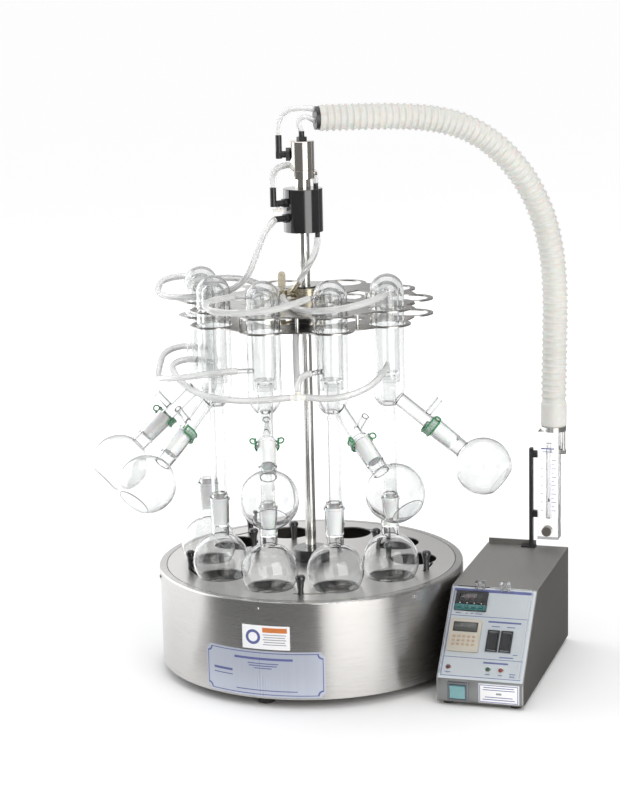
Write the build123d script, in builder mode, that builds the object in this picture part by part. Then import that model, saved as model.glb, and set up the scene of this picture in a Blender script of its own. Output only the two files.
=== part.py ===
# Ten-place rotating vapour-condensing carousel over a round heated bath, with its bench controller,
# flowmeter and corrugated supply hose.  Millimetres, +Z up.  The origin is the point on the bench under
# the carousel's axle.  A bearing is an angle about that axle, measured from the front (-Y) towards +X.
from build123d import *
from math import atan, atan2, cos, degrees, pi, radians, sin, sqrt, tan
import os

os.makedirs("parts", exist_ok=True)

# ---------------------------------------------------------------- driving dimensions: bath
SHELL_R = 227.0            # outside of the bath wall
WALL = 1.8                 # sheet steel of the bath wall
FOOT_H = 14.0
BAND_R = 228.5             # outside of the band round the top
BAND_BOTTOM = 139.0
LID_TOP = 158.0
LID_T = 2.0
LID_R = 216.6
RIM_INNER_R = 217.6
TANK_R = 212.0
TANK_FLOOR = 45.0
TANK_WALL = 1.5
SCREW_BEARING = -20.0      # first of six band screws
SCREW_Z = 147.0

# ---------------------------------------------------------------- driving dimensions: carousel
STATIONS = 10
STATION_R = 154.0          # circle of the flask holes
STATION_START = -95.0      # bearing of the first station
GLASSED = 5                # stations that carry glass
ARM_BEARINGS = (-68.0, -46.0, 2.0, 38.0, 86.0)
BARB_TURN = -90.0          # barbs stand square to the arms
POST_R = 8.0
POST_BOTTOM = 52.4
POST_TOP = 668.0
HOLE_R = 34.5              # flask hole in the lid
KNOB_R = 184.0             # circle of the outer knobs
SLOT_R = 184.0
INNER_KNOB_R = 116.5
PLATE_Z = (531.0, 553.0)   # undersides of the two holder plates
PLATE_T = 2.0
PLATE_R = 165.0
LOBE_R = 34.0
PLATE_HOLE_R = 26.5
HUB_TUBE_R = 16.0
BLOCK_R = 29.0
BLOCK_BOTTOM = 654.5
BLOCK_TOP = 717.5
HOUSING_R = 18.0
HOUSING_BOTTOM = 731.8
HOUSING_TOP = 786.0

# ---------------------------------------------------------------- driving dimensions: glass
FLASK_R = 41.5             # 250 ml round flask
FLASK_FLAT = 34.0          # centre to flat bottom
FLASK_WALL = 1.6
NECK_R = 12.6
NECK_TOP = 96.0            # centre to rim
JOINT_LENGTH = 40.0        # 24/40 ground joint
JOINT_TOP_R = 12.0
JOINT_END_R = 10.0
JOINT_FIT = 0.08           # radial room in the ground joint
LIP_R = 15.3
LIP_H = 4.0
TUBE_R = 11.0              # straight lower tube
TUBE_BORE = 9.2
CONDENSER_R = 24.3
GLASS = 1.8
SHOULDER_Z = 414.0
SHELL_Z = 444.0
DOME_Z = 580.0
FINGER_R = 17.0
FINGER_BOTTOM = 449.0
FINGER_TOP = 577.0
STANDPIPE_TOP = 457.0
BARB_Z = (476.0, 582.0)
BARB_REACH = 38.0          # axis to the end of a hose barb
ARM_Z = 435.7              # where the side arm's axis meets the condenser's axis
ARM_DROP = 40.0            # degrees below horizontal
ARM_R = 10.2
ARM_REACH = 176.9          # along the arm's axis to the receiver's centre
ARM_RIM = ARM_REACH - NECK_TOP
HOSE_R = 4.75              # clear water hose
SUPPLY_R = 4.2             # thinner supply tubes
CORRUGATED_R = 20.0

# ---------------------------------------------------------------- driving dimensions: controller
CASE_X, CASE_Y = 174.5, -217.0     # front left corner at the bench
CASE_YAW = -17.5
CASE_W = 126.0
CASE_D = 336.0
CASE_H = 148.0
CASE_FLOOR = 6.0
KINK_Z = 41.0              # where the sloped panel meets the upright strip
SLOPE_RUN = 100.0          # how far back the slope goes
SHEET = 1.5
PANEL_T = 2.0

BULB_Z = LID_TOP + sqrt(FLASK_R ** 2 - HOLE_R ** 2) + 0.2
FLASK_RIM_Z = BULB_Z + NECK_TOP


def compass(bearing):
    """Polar angle from +X of a bearing measured from -Y."""
    return bearing - 90.0


def spot(radius, bearing, z=0.0):
    """A point at a radius and bearing about the axle."""
    a = radians(compass(bearing))
    return (radius * cos(a), radius * sin(a), z)


def outward(bearing):
    """Horizontal unit vector away from the axle at a bearing."""
    return spot(1.0, bearing)


def station_bearing(k):
    return STATION_START + 360.0 / STATIONS * k


def station_spot(k, z=0.0):
    return spot(STATION_R, station_bearing(k), z)


def shifted(point, direction, distance):
    return tuple(p + distance * d for p, d in zip(point, direction))


def write(piece, name):
    """Label a finished piece and write it as one STEP node."""
    piece.part.label = name
    export_step(piece.part, f"parts/{name}.step")


# ================================================================ bath (stands still)
with BuildPart() as bath_feet:
    with BuildSketch(Plane.XY):
        Circle(14)
        with PolarLocations(200, 4, start_angle=compass(-20)):
            Circle(12)
    extrude(amount=FOOT_H)
    chamfer(bath_feet.edges().group_by(Axis.Z)[0], 1.5)
write(bath_feet, "bath_feet")

with BuildPart() as base_plate:
    with BuildSketch(Plane.XY.offset(FOOT_H)):
        Circle(SHELL_R - WALL)
        with PolarLocations(130, 8):
            SlotOverall(46, 8, mode=Mode.SUBTRACT)
    extrude(amount=2.0)
write(base_plate, "base_plate")

with BuildPart() as bath_shell:
    with BuildSketch(Plane.XY.offset(FOOT_H)):
        Circle(SHELL_R)
        Circle(SHELL_R - WALL, mode=Mode.SUBTRACT)
    extrude(amount=154.0 - FOOT_H)
    for turn in range(6):
        here = SCREW_BEARING + 60 * turn
        with BuildSketch(Plane(origin=spot(SHELL_R - 6, here, SCREW_Z), z_dir=outward(here))):
            Circle(1.7)
        extrude(amount=10, mode=Mode.SUBTRACT)
write(bath_shell, "bath_shell")

with BuildPart() as rim_band:
    with BuildSketch(Plane.XZ):
        with BuildLine():
            Polyline((SHELL_R, BAND_BOTTOM), (BAND_R, BAND_BOTTOM), (BAND_R, LID_TOP - 2.5))
            RadiusArc((BAND_R, LID_TOP - 2.5), (BAND_R - 2.5, LID_TOP), -2.5)
            Polyline((BAND_R - 2.5, LID_TOP), (RIM_INNER_R, LID_TOP), (RIM_INNER_R, LID_TOP - 1.8),
                     (SHELL_R - 2.2, LID_TOP - 1.8), (SHELL_R, LID_TOP - 3.6), (SHELL_R, BAND_BOTTOM))
        make_face()
    revolve(axis=Axis.Z)
    for turn in range(6):
        here = SCREW_BEARING + 60 * turn
        with BuildSketch(Plane(origin=spot(SHELL_R - 6, here, SCREW_Z), z_dir=outward(here))):
            Circle(1.7)
        extrude(amount=10, mode=Mode.SUBTRACT)
write(rim_band, "rim_band")

with BuildPart() as band_screws:
    for turn in range(6):
        here = SCREW_BEARING + 60 * turn
        with BuildSketch(Plane(origin=spot(SHELL_R - 5, here, SCREW_Z), z_dir=outward(here))):
            Circle(1.6)
        extrude(amount=BAND_R - SHELL_R + 5.2)
        with BuildSketch(Plane(origin=spot(BAND_R + 0.1, here, SCREW_Z), z_dir=outward(here))):
            Circle(3.3)
        extrude(amount=1.6, taper=22)
write(band_screws, "band_screws")

with BuildPart() as inner_tank:
    with BuildSketch(Plane.XZ):
        with BuildLine():
            Polyline((0, TANK_FLOOR), (TANK_R, TANK_FLOOR), (TANK_R, 150), (SHELL_R - WALL, 150),
                     (SHELL_R - WALL, 150 + TANK_WALL), (TANK_R - TANK_WALL, 150 + TANK_WALL),
                     (TANK_R - TANK_WALL, TANK_FLOOR + TANK_WALL), (0, TANK_FLOOR + TANK_WALL),
                     (0, TANK_FLOOR))
        make_face()
    revolve(axis=Axis.Z)
write(inner_tank, "inner_tank")

with BuildPart() as immersion_heater:
    with BuildSketch(Plane.XZ):
        with Locations((120, 62)):
            Circle(5)
    revolve(axis=Axis.Z)
    for here in (172, 188):
        with BuildSketch(Plane.XY.offset(TANK_FLOOR + TANK_WALL)):
            with Locations(spot(120, here)[:2]):
                Circle(4.4)
        extrude(amount=62 - TANK_FLOOR - TANK_WALL)
write(immersion_heater, "immersion_heater")

with BuildPart() as bearing_tube:
    with BuildSketch(Plane.XZ):
        with BuildLine():
            Polyline((0, 46.5), (30, 46.5), (30, 51), (15, 52), (15, 140), (11, 140), (11, 52), (0, 52),
                     (0, 46.5))
        make_face()
    revolve(axis=Axis.Z)
write(bearing_tube, "bearing_tube")

with BuildPart() as bearing_bush:
    with BuildSketch(Plane.XY.offset(60)):
        Circle(10.95)
        Circle(POST_R + 0.06, mode=Mode.SUBTRACT)
    extrude(amount=80)
write(bearing_bush, "bearing_bush")

# ================================================================ carousel (turns with the post)
with BuildPart() as post:
    with BuildSketch(Plane.XY.offset(POST_BOTTOM)):
        Circle(POST_R)
    extrude(amount=POST_TOP - POST_BOTTOM)
    chamfer(post.edges().filter_by(GeomType.CIRCLE), 0.8)
write(post, "post")

with BuildPart() as collar:
    with BuildSketch(Plane.XY.offset(LID_TOP)):
        Circle(27)
        Circle(POST_R, mode=Mode.SUBTRACT)
    extrude(amount=18)
    chamfer(collar.edges().group_by(Axis.Z)[-1], 1.0)
write(collar, "collar")

OUTER_KNOBS = [STATION_START + 18 + 72 * i for i in range(5)]
INNER_KNOBS = [station_bearing(k) for k in range(GLASSED, STATIONS)]

with BuildPart() as lid:
    with BuildSketch(Plane.XY.offset(LID_TOP - LID_T)):
        Circle(LID_R)
        Circle(POST_R, mode=Mode.SUBTRACT)
        with PolarLocations(STATION_R, STATIONS, start_angle=compass(STATION_START)):
            Circle(HOLE_R, mode=Mode.SUBTRACT)
        for here in OUTER_KNOBS:
            with BuildLine(mode=Mode.PRIVATE) as slot_line:
                CenterArc((0, 0), SLOT_R, compass(here) - 3, 14)
            SlotArc(slot_line.edges()[0], 4.0, mode=Mode.SUBTRACT)
        for here in INNER_KNOBS:
            with Locations(spot(INNER_KNOB_R, here)[:2]):
                Circle(1.75, mode=Mode.SUBTRACT)
    extrude(amount=LID_T)
write(lid, "lid")


def knob_outline(stem):
    """Half outline of a waisted knob standing on the lid, with a stem of that length through a slot."""
    with BuildLine() as line:
        Polyline((0, -stem), (1.7, -stem), (1.7, 0), (4.6, 0), (4.2, 6), (5.2, 16), (7.4, 23))
        Spline((7.4, 23), (6.3, 26.6), (0, 28.5), tangents=((0, 1), (-1, 0)))
        Line((0, 28.5), (0, -stem))
    return line.line


KNOBS = ([(KNOB_R, here, 8.0) for here in OUTER_KNOBS] + [(INNER_KNOB_R, here, 2.0) for here in INNER_KNOBS])

with BuildPart() as lid_knobs:
    for radius, here, stem in KNOBS:
        place = spot(radius, here, LID_TOP)
        with BuildSketch(Plane(origin=place, x_dir=(1, 0, 0), z_dir=(0, -1, 0))):
            make_face(knob_outline(stem).edges())
        revolve(axis=Axis(place, (0, 0, 1)))
write(lid_knobs, "lid_knobs")

with BuildPart() as holder_plates:
    for level in PLATE_Z:
        with BuildSketch(Plane.XY.offset(level)):
            Circle(PLATE_R)
            with PolarLocations(STATION_R, STATIONS, start_angle=compass(STATION_START)):
                Circle(LOBE_R)
            Circle(104, mode=Mode.SUBTRACT)
            Circle(44)
            with PolarLocations(75, 5, start_angle=compass(STATION_START + 18)):
                Rectangle(70, 30)
            with PolarLocations(STATION_R, STATIONS, start_angle=compass(STATION_START)):
                Circle(PLATE_HOLE_R, mode=Mode.SUBTRACT)
            Circle(HUB_TUBE_R, mode=Mode.SUBTRACT)
        extrude(amount=PLATE_T)
write(holder_plates, "holder_plates")

with BuildPart() as holder_spacers:
    with BuildSketch(Plane.XY.offset(PLATE_Z[0] + PLATE_T)):
        with PolarLocations(142, STATIONS, start_angle=compass(STATION_START + 18)):
            Circle(2.6)
    extrude(amount=PLATE_Z[1] - PLATE_Z[0] - PLATE_T)
write(holder_spacers, "holder_spacers")

with BuildPart() as hub_clamp:
    with BuildSketch(Plane.XZ):
        with BuildLine():
            Polyline((POST_R, 508), (HUB_TUBE_R, 508), (HUB_TUBE_R, 533), (30, 533), (30, 553),
                     (HUB_TUBE_R, 553), (HUB_TUBE_R, 574), (POST_R, 574), (POST_R, 508))
        make_face()
    revolve(axis=Axis.Z)
write(hub_clamp, "hub_clamp")

# hose tails and fittings round the hub, above and below the plates
UPPER_TAIL_Z = 564.0
LOWER_TAIL_Z = 520.0
TAIL_REACH = 36.0
RISER_BASE = (-17.0, -14.0, 569.0)
RISER_DIR = (0.55, -0.16, 0.82)
RISER_END = shifted(RISER_BASE, RISER_DIR, 16)
VALVE_SPOT = spot(39, -60, UPPER_TAIL_Z)
VALVE_OUT_BEARING = 5.0
VALVE_OUT = shifted(VALVE_SPOT, outward(VALVE_OUT_BEARING), 18)
B_TAIL_BEARING = -100.0
TEE_TAIL_BEARING = -16.0
DRAIN_BEARING = -68.0
TEE = (-13.0, -196.0, 447.0)

with BuildPart() as hub_fittings:
    for low, high in ((512.5, 527.5), (556, 572)):
        with BuildSketch(Plane.XY.offset(low)):
            Circle(22)
            Circle(HUB_TUBE_R, mode=Mode.SUBTRACT)
        extrude(amount=high - low)
    for here, level, reach in ((-60, UPPER_TAIL_Z, 39), (B_TAIL_BEARING, UPPER_TAIL_Z, TAIL_REACH),
                               (TEE_TAIL_BEARING, LOWER_TAIL_Z, TAIL_REACH), (DRAIN_BEARING, LOWER_TAIL_Z, 34)):
        with BuildSketch(Plane(origin=spot(21, here, level), z_dir=outward(here))):
            Circle(3.6)
        extrude(amount=reach - 21)
        with BuildSketch(Plane(origin=spot(21, here, level), z_dir=outward(here))):
            RegularPolygon(5.8, 6)
        extrude(amount=5)
    with BuildSketch(Plane(origin=RISER_BASE, z_dir=RISER_DIR)):
        Circle(3.6)
    extrude(amount=16)
    # angle valve: upright body, outlet towards the front
    with BuildSketch(Plane.XY.offset(UPPER_TAIL_Z - 7)):
        with Locations(VALVE_SPOT[:2]):
            RegularPolygon(7.4, 6)
    extrude(amount=14)
    with BuildSketch(Plane(origin=VALVE_SPOT, z_dir=outward(VALVE_OUT_BEARING))):
        Circle(3.6)
    extrude(amount=18)
    # plugged drain tail
    with BuildSketch(Plane(origin=spot(33, DRAIN_BEARING, LOWER_TAIL_Z), z_dir=outward(DRAIN_BEARING))):
        RegularPolygon(7.4, 6)
    extrude(amount=9)
write(hub_fittings, "hub_fittings")

with BuildPart() as line_cross:
    # four-way fitting in the lower line: left, right, back to the hub and up to the fourth condenser
    with BuildSketch(Plane(origin=shifted(TEE, (1, 0, 0), -11), z_dir=(1, 0, 0))):
        Circle(4.2)
    extrude(amount=22)
    with BuildSketch(Plane(origin=TEE, z_dir=(0, 1, 0))):
        Circle(4.0)
    extrude(amount=11)
    with BuildSketch(Plane(origin=TEE, z_dir=(0, 0, 1))):
        Circle(3.8)
    extrude(amount=9)
    with BuildSketch(Plane.XY.offset(TEE[2] - 4.8)):
        with Locations(TEE[:2]):
            Circle(5.4)
    extrude(amount=9.6)
write(line_cross, "line_cross")

with BuildPart() as valve_lever:
    # spindle, then an upright paddle that swings a quarter turn about the spindle
    with BuildSketch(Plane.XY.offset(UPPER_TAIL_Z + 7.1)):
        with Locations(VALVE_SPOT[:2]):
            Circle(2.4)
    extrude(amount=4)
    paddle_plane = Plane(origin=(VALVE_SPOT[0], VALVE_SPOT[1], UPPER_TAIL_Z + 10),
                         x_dir=outward(VALVE_OUT_BEARING + 90), z_dir=outward(VALVE_OUT_BEARING))
    with BuildSketch(paddle_plane.offset(-2)):
        with Locations((0, 12)):
            SlotOverall(25, 11, rotation=90)
    extrude(amount=4)
write(valve_lever, "valve_lever")

with BuildPart() as manifold_block:
    with BuildSketch(Plane.XY.offset(BLOCK_BOTTOM)):
        Circle(BLOCK_R)
    extrude(amount=BLOCK_TOP - BLOCK_BOTTOM)
    with BuildSketch(Plane.XY.offset(BLOCK_BOTTOM)):
        Circle(POST_R)
    extrude(amount=POST_TOP - BLOCK_BOTTOM, mode=Mode.SUBTRACT)
    chamfer(manifold_block.edges().filter_by(GeomType.CIRCLE).group_by(Axis.Z)[-1], 0.8)
write(manifold_block, "manifold_block")

LOOP_START = (-43.0, -25.0, 722.0)
LOOP_END = (19.0, 16.0, 722.5)
LEFT_RISER_BEARING = -55.0
LEFT_RISER_Z = 676.0
RIGHT_RISER_TAIL = (20.0, -8.0, 646.0)
COCK_SPOT = shifted(spot(BLOCK_R, -60.0, 698.0), outward(-60.0), 12.5)

with BuildPart() as manifold_fittings:
    for here, level, reach in ((LEFT_RISER_BEARING, LEFT_RISER_Z, 21.0), (-60.0, 698.0, 20.6)):
        with BuildSketch(Plane(origin=spot(BLOCK_R, here, level), z_dir=outward(here))):
            RegularPolygon(7.0, 6)
        extrude(amount=5.5)
        with BuildSketch(Plane(origin=spot(BLOCK_R + 5, here, level), z_dir=outward(here))):
            Circle(4.6)
        extrude(amount=reach - 5)
    # elbow up to the start of the loop tube
    with BuildSketch(Plane(origin=(LOOP_START[0], LOOP_START[1], 694.0), z_dir=(0, 0, 1))):
        Circle(4.6)
    extrude(amount=LOOP_START[2] - 694.0)
    # tails on the block's underside and top
    with BuildSketch(Plane.XY.offset(RIGHT_RISER_TAIL[2])):
        with Locations(RIGHT_RISER_TAIL[:2]):
            Circle(3.6)
    extrude(amount=BLOCK_BOTTOM - RIGHT_RISER_TAIL[2])
    with BuildSketch(Plane.XY.offset(BLOCK_TOP)):
        with Locations(LOOP_END[:2]):
            Circle(3.6)
    extrude(amount=LOOP_END[2] - BLOCK_TOP)
write(manifold_fittings, "manifold_fittings")

with BuildPart() as stopcock_handle:
    with BuildSketch(Plane.XY.offset(698.0 - 4.6 - 3.2)):
        with Locations(COCK_SPOT[:2]):
            Circle(3.0)
    extrude(amount=3.0)
    with BuildSketch(Plane(origin=(COCK_SPOT[0], COCK_SPOT[1], 698.0 - 4.6 - 7.2),
                           x_dir=outward(-60.0), z_dir=(0, 0, 1))):
        SlotOverall(20, 6)
    extrude(amount=4.0)
write(stopcock_handle, "stopcock_handle")

with BuildPart() as union_rotor:
    with BuildSketch(Plane.XZ):
        with BuildLine():
            Polyline((0, BLOCK_TOP), (11.5, BLOCK_TOP), (11.5, HOUSING_BOTTOM - 0.4), (8, HOUSING_BOTTOM - 0.4),
                     (8, 770), (0, 770), (0, BLOCK_TOP))
        make_face()
    revolve(axis=Axis.Z)
write(union_rotor, "union_rotor")

# ================================================================ rotary union and supply (stand still)
with BuildPart() as union_housing:
    with BuildSketch(Plane.XZ):
        with BuildLine():
            Polyline((8.08, HOUSING_BOTTOM), (HOUSING_R, HOUSING_BOTTOM), (HOUSING_R, 744), (HOUSING_R - 0.6, 744.6),
                     (HOUSING_R, 745.2), (HOUSING_R, HOUSING_TOP - 1), (HOUSING_R - 1, HOUSING_TOP), (0, HOUSING_TOP),
                     (0, 774), (8.08, 774), (8.08, HOUSING_BOTTOM))
        make_face()
    revolve(axis=Axis.Z)
    with BuildSketch(Plane(origin=(HOUSING_R - 1, 0, 739), z_dir=(1, 0, 0))):
        Circle(2.8)
    extrude(amount=4.5)
write(union_housing, "union_housing")

INLET_START = (-33.5, 0.0, 795.0)
OUTLET_START = (0.0, 0.0, 800.0)
HOSE_BEARING = 11.0        # degrees from +X of the plane in which the corrugated hose hangs
MOUTH_S, MOUTH_Z = 26.0, 818.0


def in_hose_plane(s, z, side=0.0):
    a = radians(HOSE_BEARING)
    return (s * cos(a) - side * sin(a), s * sin(a) + side * cos(a), z)


HOSE_DIR = in_hose_plane(1, 0)
PLUG_T = 6.0

with BuildPart() as union_fittings:
    with BuildSketch(Plane(origin=(-HOUSING_R, 0, 767), z_dir=(-1, 0, 0))):
        RegularPolygon(9.7, 6)
    extrude(amount=5.4)
    with BuildSketch(Plane(origin=(-HOUSING_R - 5, 0, 767), z_dir=(-1, 0, 0))):
        Circle(5)
    extrude(amount=15)
    with BuildSketch(Plane.XY.offset(761)):
        with Locations(INLET_START[:2]):
            Circle(4.6)
    extrude(amount=INLET_START[2] - 761)
    with BuildSketch(Plane.XY.offset(HOUSING_TOP)):
        RegularPolygon(7.5, 6)
    extrude(amount=6)
    with BuildSketch(Plane.XY.offset(HOUSING_TOP + 6)):
        Circle(4.2)
    extrude(amount=OUTLET_START[2] - HOUSING_TOP - 6)
    # end plug in the mouth of the corrugated hose
    with BuildSketch(Plane(origin=in_hose_plane(MOUTH_S - PLUG_T, MOUTH_Z), z_dir=HOSE_DIR)):
        Circle(17)
    extrude(amount=PLUG_T)
write(union_fittings, "union_fittings")

INLET_ROUTE = [INLET_START, (-34.5, 0, 812), (-23, 0.6, 830), (-2, 1.8, 834),
               in_hose_plane(MOUTH_S - PLUG_T, 831)]
OUTLET_ROUTE = [OUTLET_START, (-5.5, -0.3, 810), (-0.5, 0.3, 820), (10.5, 2, 820.5),
                in_hose_plane(MOUTH_S - PLUG_T, 813)]
CORRUGATED_ROUTE = [in_hose_plane(s, z) for s, z in
                    ((MOUTH_S, MOUTH_Z), (92, MOUTH_Z), (156, 816), (212, 809), (262, 790), (306, 756),
                     (341, 711), (366, 658), (379, 600), (383, 541), (382.4, 474), (381, 406), (381, 338))]


def corner_radii(route):
    """As large an arc at each corner as its two runs allow."""
    radii = []
    for i in range(1, len(route) - 1):
        before, here, after = (Vector(*route[j]) for j in (i - 1, i, i + 1))
        run_in, run_out = here - before, after - here
        half_turn = radians(run_in.get_angle(run_out)) / 2
        radii.append(0.45 * min(run_in.length, run_out.length) / tan(half_turn))
    return radii


def hose(route, radius, name):
    """One plain tube along straight runs and tangent arcs."""
    radii = corner_radii(route)
    with BuildPart() as tube:
        with BuildLine() as path:
            FilletPolyline(*route, radius=radii)
        wire = path.wires()[0]
        with BuildSketch(Plane(origin=wire @ 0, z_dir=wire % 0)):
            Circle(radius)
        sweep(path=wire)
    ratio = tube.part.volume / (pi * radius ** 2 * wire.length)
    print(f"{name}: length {wire.length:.0f}, radii {[round(r) for r in radii]}, volume ratio {ratio:.3f}")
    return tube.part


supply_pair = (hose(INLET_ROUTE, SUPPLY_R, "inlet tube"), hose(OUTLET_ROUTE, SUPPLY_R - 0.6, "outlet tube"))
with BuildPart() as supply_tubes:
    for tube in supply_pair:
        add(tube)
write(supply_tubes, "supply_tubes")

corrugated_tube = hose(CORRUGATED_ROUTE, CORRUGATED_R, "corrugated hose")
with BuildPart() as corrugated_hose:
    add(corrugated_tube)
write(corrugated_hose, "corrugated_hose")

# ================================================================ glass
NECK_Z = sqrt(FLASK_R ** 2 - NECK_R ** 2)
INNER_R = FLASK_R - FLASK_WALL
THROAT_R = JOINT_END_R + JOINT_FIT
THROAT_Z = sqrt(INNER_R ** 2 - THROAT_R ** 2)
JOINT_Z = NECK_TOP - JOINT_LENGTH
FLAT_R = sqrt(FLASK_R ** 2 - FLASK_FLAT ** 2)
INNER_FLAT = FLASK_FLAT - FLASK_WALL
INNER_FLAT_R = sqrt(INNER_R ** 2 - INNER_FLAT ** 2)

with BuildPart() as flask_form:
    # bulb centre at the origin, neck up
    with BuildSketch(Plane.XZ):
        with BuildLine():
            Line((0, -FLASK_FLAT), (FLAT_R, -FLASK_FLAT))
            ThreePointArc((FLAT_R, -FLASK_FLAT), (FLASK_R, 0), (NECK_R, NECK_Z))
            Polyline((NECK_R, NECK_Z), (NECK_R, JOINT_Z - 3), (NECK_R + 0.7, JOINT_Z),
                     (NECK_R + 1.2, NECK_TOP - LIP_H), (LIP_R, NECK_TOP - LIP_H), (LIP_R, NECK_TOP),
                     (JOINT_TOP_R + JOINT_FIT, NECK_TOP), (THROAT_R, JOINT_Z), (THROAT_R, THROAT_Z))
            ThreePointArc((THROAT_R, THROAT_Z), (INNER_R, 0), (INNER_FLAT_R, -INNER_FLAT))
            Polyline((INNER_FLAT_R, -INNER_FLAT), (0, -INNER_FLAT), (0, -FLASK_FLAT))
        make_face()
    revolve(axis=Axis.Z)

with BuildPart() as base_flasks:
    with Locations(*[station_spot(k, BULB_Z) for k in range(GLASSED)]):
        add(flask_form.part)
write(base_flasks, "base_flasks")


def arm_direction(k):
    across = outward(ARM_BEARINGS[k])
    drop = radians(ARM_DROP)
    return (across[0] * cos(drop), across[1] * cos(drop), -sin(drop))


def nub_direction(k):
    across = outward(ARM_BEARINGS[k])
    drop = radians(ARM_DROP)
    return (across[0] * sin(drop), across[1] * sin(drop), cos(drop))


def arm_point(k, along):
    return shifted(station_spot(k, ARM_Z), arm_direction(k), along)


def barb_tip(k, level):
    return shifted(station_spot(k, level), outward(ARM_BEARINGS[k] + BARB_TURN), BARB_REACH)


JOINT_TAPER = degrees(atan((JOINT_TOP_R - JOINT_END_R) / JOINT_LENGTH))
NUB_AT = 66.0

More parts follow.
